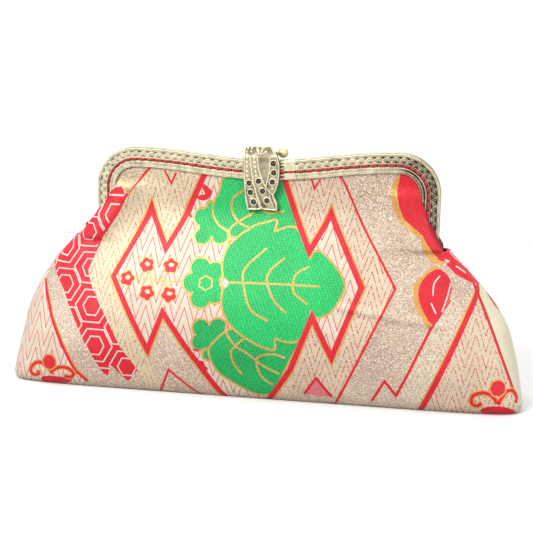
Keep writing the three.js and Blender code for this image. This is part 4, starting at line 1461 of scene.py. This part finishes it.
def add_ears(side, half):
    """Ears at both ends of a half, which move with it."""
    for hand, name in HANDS:
        inner, outer = hand * (EAR_OUTER[side] - SHEET), hand * EAR_OUTER[side]
        low, high = sorted((inner, outer))
        ear = side_plate(f"{side}_ear_{name}", ear_outline(side), low, high, 0.15)
        ear.parent = half
        if side == "back":
            front, top = FACE_BACK - 0.2, EAR_TOP[side]
            ring = [(0.3, STEP_FROM), (front, STEP_FROM), (front, top), (0.3, top)]
            low, high = sorted((outer, hand * STEP_OUTER))
            step = side_plate(f"back_step_{name}", ring, low, high, 0.12)
            step.parent = half


for side, way in SIDES:
    half = frame_half(side, way)
    fit(half, side + "_half", side + "_frame")
    add_ears(side, half)

# Hinge rivets: profile as (radius, distance from the middle)
RIVET_RADIUS = 2.2
PIN_RADIUS = 1.2
RIVET_PROFILE = [(0.01, 99.3), (1.7, 99.32), (RIVET_RADIUS, 99.6), (RIVET_RADIUS, 100.1),
                 (PIN_RADIUS, 100.2), (PIN_RADIUS, 102.8), (2.05, 102.8), (RIVET_RADIUS, 102.95),
                 (2.0, 103.25), (1.4, 103.55), (0.7, 103.68), (0.01, 103.7)]
for hand, name in HANDS:
    rivet = turned_piece("rivet_head_" + name, RIVET_PROFILE, (0, 0, HINGE_HEIGHT), (hand, 0, 0))
    fit(rivet, "front_half", "rivet_" + name)

# Sewing thread: one short stitch between every two neighbouring holes
THREAD_RADIUS = 0.68
STITCH_POINTS = 11
STITCH_START = 0.72
STITCH_SINK = 0.7
STITCH_RISE = 1.05
STITCH_SWAY = 0.12
# Name of the run of thread, its side, and where it runs, in millimetres right of the middle
STITCH_RUNS = (("front_stitching_left", "front", -1, (-math.inf, -10.5)),
               ("front_stitching_right", "front", -1, (8.5, math.inf)),
               ("back_stitching", "back", 1, (-math.inf, math.inf)))
red_thread = Shader("red_thread", Roughness=0.6, Sheen_Weight=0.4)
strands = red_thread.wave(red_thread.place(), 520.0, 1.5)
red_thread.put(red_thread.surface, "Base_Color",
               red_thread.mix(strands, paint(170, 10, 26), paint(232, 40, 58)))
red_thread.bump(strands, 0.8, 0.15)


def stitches(way, low, high):
    """Points and faces of all the stitches between two distances from the middle."""
    made = []
    for start, end in zip(hole_places, hole_places[1:]):
        if low < (start + end) / 2 - OUTLINE_LENGTH / 2 < high:
            share = np.linspace(0, 1, STITCH_POINTS)
            along = lerp(start + STITCH_START, end - STITCH_START, share)
            lift = HALF_DEPTH - STITCH_SINK + STITCH_RISE * np.sin(math.pi * share) ** 0.5
            flat = on_frame(along, STITCH_LINE + STITCH_SWAY * np.sin(along * 7))
            made.append(cord(np.column_stack([flat[:, 0], way * lift, flat[:, 1]]), THREAD_RADIUS))
    return join(made)


for name, side, way, span in STITCH_RUNS:
    points, faces = stitches(way, *span)
    piece = make_piece(name.replace("stitching", "stitches"), points, faces, [red_thread.material])
    fit(piece, side + "_half", name)

# Clasp plate: three flowing ribbons with beaded rims, set with stones. Its outline, rims, strands,
# beads and stones are placed by (distance right of the middle, distance below the bar's upper edge).
PLATE_BACK = HALF_DEPTH + 0.3
PLATE_THICK = 2.0
PLATE_FRONT = PLATE_BACK + PLATE_THICK
PLATE_HEIGHT = 3.4
PLATE_END = 29.5
ROOF_RISE = 4.0
ROOF_DEPTH = 2.0
ROOF_LENGTH = ROOF_RISE * math.sqrt(2) + ROOF_DEPTH
PLATE_STEP = 0.27
BORDER_POINTS = 240
PLATE_OUTLINE = [(-11.4, -3.4), (-11.4, 4), (-11.3, 11), (-10.6, 20.9), (-9.9, 25.5), (-9.2, 28.4),
                 (-8.4, 29), (-4, 28.9), (-0.9, 28.6), (-0.2, 28), (0.5, 28.6), (4.4, 28.9), (8.4, 29),
                 (9.1, 27.3), (8.3, 23.8), (6.7, 20.3), (7.9, 18), (9, 15), (9.6, 12.2), (10.1, 9),
                 (10.2, 7), (10.2, 4), (10, 1.2), (8.7, -3.4)]
ROOF_OUTLINE = [(4.7, -9.2), (4.7, -3.4 - ROOF_LENGTH), (-10.9, -3.4 - ROOF_LENGTH), (-11.4, -8.8)]
RIM_LINES = [
    [(-7.4, -3), (-7.0, 2), (-6.4, 7.4), (-4.8, 15.1), (-2.5, 22.8), (-0.9, 27.3)],
    [(-3, -2.6), (-2.5, 3.6), (-0.9, 9.4), (1.4, 14.3), (4.5, 18.2), (6.8, 20.5), (8.8, 25.3)],
    [(4.2, -1.4), (4.3, 3.6), (3.7, 8.2), (2.6, 12.8), (2.1, 14.6)],
]
RIM_RADIUS = 0.5
RIM_INSET = 0.55
# Middle and half width of each ribbon
STRANDS = [
    ([(-9.2, -3), (-9.1, 6), (-8, 16), (-6, 23), (-5.0, 27.5)], 2.1),
    ([(-4.9, -2), (-4, 6), (-2, 14), (1, 20), (4.4, 26.5)], 2.6),
    ([(7.2, -2), (7.4, 5), (6.2, 12), (5.4, 16.5)], 2.8),
]
LENS = [(-2.3, -2.6), (-2, 3.6), (-0.4, 9.4), (1.4, 12.9), (2.4, 12), (3.5, 8.2), (4, 3.6), (3.9, -2)]
FAN_CENTRE = (-1.5, -2.0)
FAN_RAYS = 13
LARGE_BEAD = (0.8, 0.95)
LARGE_BEAD_ROWS = [((-9.3, -1.6), (-9.2, 9.2)), ((-4.9, -1.4), (-3.7, 9))]
LARGE_BEADS_A_ROW = 5
LOOSE_BEADS = [(6.0, 16.3), (-9.5, -5.6), (-7.0, -5.6), (1.7, -5.6), (-9.3, -8.2), (-6.9, -8.2)]
SMALL_BEAD = (0.4, 0.6)
SMALL_BEAD_ROWS = [((-4.2, 18.5), (-1.9, 27.6)), ((-10.1, 19), (-8.6, 27.8)), ((3.9, 19.2), (6.9, 27.6))]
SMALL_BEADS_A_ROW = 11
STONE_RADIUS = 1.55
STONE_SEAT = 0.95
CLAWS = 8
COLLET_RADIUS = STONE_RADIUS + 0.3
COLLET_HALF = 0.4
STONES = {
    "right_1": (6.4, 1.45), "right_2": (6.7, 6.8), "right_3": (5.9, 12.2),
    "middle_1": (-2.3, 11.9), "middle_2": (0.1, 17.7), "middle_3": (2.8, 23.2),
    "left_1": (-7.9, 13.2), "left_2": (-7.1, 18.6), "left_3": (-5.3, 24.1),
}


def bead_places():
    """Place, radius and height of each bead."""
    large = [place for row in LARGE_BEAD_ROWS for place in np.linspace(*row, LARGE_BEADS_A_ROW)]
    small = [place for row in SMALL_BEAD_ROWS for place in np.linspace(*row, SMALL_BEADS_A_ROW)]
    return ([(place, *LARGE_BEAD) for place in large + LOOSE_BEADS]
            + [(place, *SMALL_BEAD) for place in small])


def plate_height(points, border):
    """Height of the ornament above the plate's plain front."""
    x, down = points.T
    edge = line_distance(points, np.vstack([border, border[:1]]))
    height = np.full(len(points), -0.25)
    for line, half in STRANDS:
        gap = line_distance(points, curve_through(line, 4))
        height = np.maximum(height, 0.36 * dome(gap / half) - 0.16)
    lens = inside(points, LENS)
    height[lens] = 0.12 + 0.06 * np.sin(x[lens] * 14)
    rims = np.abs(edge - RIM_INSET)
    for line in RIM_LINES:
        rims = np.minimum(rims, line_distance(points, curve_through(line, 5)))
    rim = 0.65 * dome(rims / RIM_RADIUS) + 0.02 * (rims < RIM_RADIUS) - 0.02
    height = np.maximum(height, rim)
    fan = np.sin(np.arctan2(x - FAN_CENTRE[0], FAN_CENTRE[1] - down) * FAN_RAYS)
    roof = (down < -3.6) & (x > -4.5) & (x < 1)
    height[roof] = np.maximum(height[roof], 0.1 + 0.22 * fan[roof])
    for place, radius, size in bead_places():
        gap = np.linalg.norm(points - place, axis=1)
        height = np.maximum(height, size * dome(gap / radius) - 0.1)
    for place in STONES.values():
        gap = np.linalg.norm(points - place, axis=1)
        collet = 0.7 * dome((gap - COLLET_RADIUS) / COLLET_HALF)
        claws = 0.12 * np.cos(CLAWS * np.arctan2(down - place[1], x - place[0])) * (collet > 0)
        height = np.where(gap < COLLET_RADIUS + 0.44, collet + claws - 0.05, height)
        height = np.where(gap < STONE_RADIUS + 0.02, -STONE_SEAT, height)
    return height - 0.8 * np.clip(0.4 - edge, 0, 0.4)


def plate_path(down):
    """Depth and height of the plate's front at a distance down its path."""
    crest_cut, foot_cut = 0.8, 1.2
    crest_side, foot_side = crest_cut / math.sqrt(2), foot_cut / math.sqrt(2)
    crest = -PLATE_HEIGHT - ROOF_RISE * math.sqrt(2)
    top = ROOF_RISE + PLATE_HEIGHT
    path = [(crest - ROOF_DEPTH, PLATE_FRONT - ROOF_RISE - ROOF_DEPTH, top),
            (crest - crest_cut, PLATE_FRONT - ROOF_RISE - crest_cut, top),
            (crest + crest_cut, PLATE_FRONT - ROOF_RISE + crest_side, top - crest_side),
            (-PLATE_HEIGHT - foot_cut, PLATE_FRONT - foot_side, PLATE_HEIGHT + foot_side),
            (-PLATE_HEIGHT + foot_cut, PLATE_FRONT, PLATE_HEIGHT - foot_cut),
            (PLATE_END, PLATE_FRONT, -PLATE_END)]
    stops, depths, heights = zip(*path)
    return np.interp(down, stops, depths), np.interp(down, stops, heights)


def clasp_plate():
    """The plate with its ornamented front, its walls and a plain back."""
    border = np.vstack([curve_through(PLATE_OUTLINE, 3), ROOF_OUTLINE])
    border = resample(np.vstack([border, border[:1]]), BORDER_POINTS)[0][:-1]
    low, high = border.min(0), border.max(0)
    grid = np.array([(x, down) for x in np.arange(low[0], high[0], PLATE_STEP)
                     for down in np.arange(low[1], high[1], PLATE_STEP)])
    flat, triangles = triangulate([border], grid[inside(grid, border)], 0.1)
    triangles = triangles[inside(flat[triangles].mean(1), border)]
    height = plate_height(flat, border)
    depth, rise = plate_path(flat[:, 1])
    step = 0.05
    depth_2, rise_2 = plate_path(flat[:, 1] + step)
    out_y, out_z = (rise - rise_2) / step, (depth_2 - depth) / step
    scale = height / (np.hypot(out_y, out_z) + TINY)
    front = np.column_stack([flat[:, 0], -(depth + scale * out_y), BAR_TOP + rise + scale * out_z])
    triangles = turn_faces(triangles, front, (0, -1, 0))
    depth, rise = plate_path(border[:, 1])
    lower = np.interp(border[:, 1], [-9, -4], [0, 1])
    back = np.column_stack([border[:, 0], -(depth - (PLATE_THICK - 0.4) * lower),
                            BAR_TOP + rise - 1.4 * (1 - lower)])
    first, count = len(front), len(border)
    walls = [(i, first + i, first + (i + 1) % count, (i + 1) % count) for i in range(count)]
    faces = triangles.tolist() + walls + [list(range(first, first + count))]
    shade = np.concatenate([smooth(-0.3, 0.56, height) * 0.96, np.full(count, 0.4)])
    return metal_piece("clasp_ribbon_plate", np.vstack([front, back]), faces, brass, shade)


plate = clasp_plate()
LUG_FRONT = PLATE_FRONT - ROOF_RISE
lug = soft_box("clasp_lug", (-4, -LUG_FRONT, BAR_TOP + 0.3),
               (4, -(LUG_FRONT - ROOF_DEPTH), BAR_TOP + PLATE_HEIGHT + ROOF_RISE - 0.6), 0.4)
lug.parent = plate
fit(plate, "front_half", "clasp_plate")

gem = Shader("dark_stone", Roughness=0.06, Coat_Weight=0.6, Coat_Roughness=0.03, IOR=1.7)
gem_tone = gem.noise(gem.place(), 700.0, 3.0)
gem.put(gem.surface, "Base_Color",
        gem.mix(gem.ramp(gem_tone, 0.35, 0.7), paint(10, 8, 9), paint(46, 32, 26)))
gem.bump(gem_tone, 0.05, 0.02)
FACETS = 8
# Rings of a stone from the back to its table: (radius, height, points, share of a turn to shift by)
STONE_RINGS = [(STONE_RADIUS - 0.35, 0.0, 2 * FACETS, 0), (STONE_RADIUS, 0.42, 2 * FACETS, 0),
               (STONE_RADIUS, 0.52, 2 * FACETS, 0), (STONE_RADIUS * 0.84, 0.86, FACETS, 0.5),
               (STONE_RADIUS * 0.6, 1.16, FACETS, 0)]


def cut_stone(name, x, down):
    """A round stone with a flat table and two rows of facets."""
    points, starts = [], []
    for radius, out, count, shift in STONE_RINGS:
        starts.append(len(points))
        for i in range(count):
            angle = TURN * (i + shift) / count
            points.append((x + radius * math.cos(angle), -(PLATE_FRONT - STONE_SEAT + out),
                           BAR_TOP - down + radius * math.sin(angle)))
    back, _, girdle, star, table = starts
    faces = [tuple(range(2 * FACETS)), *quads(3, 2 * FACETS, closed=True)]
    for i in range(FACETS):
        j = (i + 1) % FACETS
        left, middle, right = (girdle + (2 * i + k) % (2 * FACETS) for k in range(3))
        faces += [(left, star + i, middle), (middle, star + i, right),
                  (star + i, table + i, table + j), (right, star + i, table + j),
                  (right, table + j, star + j)]
    faces.append(tuple(range(table, table + FACETS)))
    return make_piece(name, points, faces, [gem.material], sharp=True)


for name, (x, down) in STONES.items():
    stone = cut_stone("cut_stone_" + name, x, down)
    fit(stone, "front_half", "stone_" + name)

# Ball knob on the back half: a stem with rings, the ball, and a foot on the bar
BALL_RADIUS = 3.0
BALL_AT = 10.5
BALL_DEPTH = 2.0
BALL_HEIGHT = 4.2
STEM_LENGTH = 11.5
STEM_RADIUS = 1.2
NECK_RADIUS = 1.5
BALL_POINTS = 22
FOOT_HALF = 2
FOOT_MARGIN = 1.2
STEM_PROFILE = [(0.01, 0), (1.0, 0.02), (STEM_RADIUS, 0.25), (STEM_RADIUS, 1.6), (1.42, 1.8),
                (1.42, 2.3), (1.15, 2.5), (1.12, 5.6), (1.36, 5.85), (1.36, 6.35), (1.2, 6.6),
                (1.25, 7.6), (1.72, 7.85), (1.78, 8.25), (NECK_RADIUS, 8.55)]
ball_profile = [(BALL_RADIUS * math.sin(angle), STEM_LENGTH - BALL_RADIUS * math.cos(angle))
                for angle in np.linspace(math.asin(NECK_RADIUS / BALL_RADIUS), math.pi - 0.01,
                                         BALL_POINTS)]
knob_x = BALL_AT - STEM_LENGTH
knob_z = BAR_TOP + BALL_HEIGHT
knob = turned_piece("clasp_ball", STEM_PROFILE + ball_profile, (knob_x, BALL_DEPTH, knob_z),
                    (1, 0, 0), steps=40, shade=0.9)
foot = soft_box("clasp_ball_foot", (knob_x - FOOT_HALF, BALL_DEPTH - FOOT_MARGIN, BAR_TOP + 0.3),
                (knob_x + FOOT_HALF, BALL_DEPTH + FOOT_MARGIN, knob_z + FOOT_MARGIN), 0.35, taper=0.86)
foot.parent = knob
fit(knob, "back_half", "ball_knob")

# Pale floor that fades into the background and is darker for bounced light only
FLOOR_SIZE = 4000
FLOOR_LEVEL = -0.02
FLOOR_FADE = (0.34, 0.62)
paper = Shader("floor", Roughness=0.9)
bounce = paper.add("ShaderNodeLightPath").outputs["Is Diffuse Ray"]
paper.put(paper.surface, "Base_Color",
          paper.mix(bounce, paint(247, 247, 246), paint(112, 108, 104)))
reach = paper.add("ShaderNodeVectorMath", {0: paper.place()}, operation="LENGTH").outputs["Value"]
clear = paper.add("ShaderNodeBsdfTransparent")
fade = paper.ramp(reach, *FLOOR_FADE)
paper.put(paper.output, "Surface",
          paper.add("ShaderNodeMixShader", {0: fade, 1: paper.surface, 2: clear}))
corner = FLOOR_SIZE / 2
floor = make_piece("floor", [(-corner, -corner, FLOOR_LEVEL), (corner, -corner, FLOOR_LEVEL),
                             (corner, corner, FLOOR_LEVEL), (-corner, corner, FLOOR_LEVEL)],
                   [(0, 1, 2, 3)], [paper.material])

# Background that is white where it is seen or reflected and lights the bag more weakly
WORLD_LEVEL = 0.42
world = bpy.data.worlds.new("studio")
bpy.context.scene.world = world
studio = Nodes(world)
rays = studio.add("ShaderNodeLightPath").outputs
seen = studio.calc("MAXIMUM", rays["Is Camera Ray"], rays["Is Glossy Ray"])
seen = studio.calc("MAXIMUM", seen, rays["Is Transmission Ray"])
level = studio.add("ShaderNodeMapRange", {"Value": seen, "To Min": WORLD_LEVEL})
sky = studio.add("ShaderNodeBackground", {"Color": (1, 1, 1, 1), "Strength": level})
studio.add("ShaderNodeOutputWorld", {"Surface": sky})

# Lamps: name, place and aim in millimetres, size in metres, power in watts
LAMPS = [
    ("key", (-420, -560, 680), (0, 0, 60), 0.4, 6.1),
    ("fill", (620, -500, 380), (0, 0, 70), 0.7, 2.2),
    ("top", (60, 120, 900), (0, 0, 80), 0.6, 3.0),
    ("rear", (-200, 800, 420), (0, 0, 80), 0.7, 2.4),
]
for name, place, aim, size, power in LAMPS:
    light = bpy.data.lights.new(name, "AREA")
    light.size = size
    light.energy = power
    lamp = bpy.data.objects.new(name, light)
    lamp.location = Vector(place) * MM
    lamp.rotation_euler = (Vector(place) - Vector(aim)).to_track_quat("Z", "Y").to_euler()
    bpy.context.scene.collection.objects.link(lamp)

bpy.context.scene.view_settings.view_transform = "Standard"
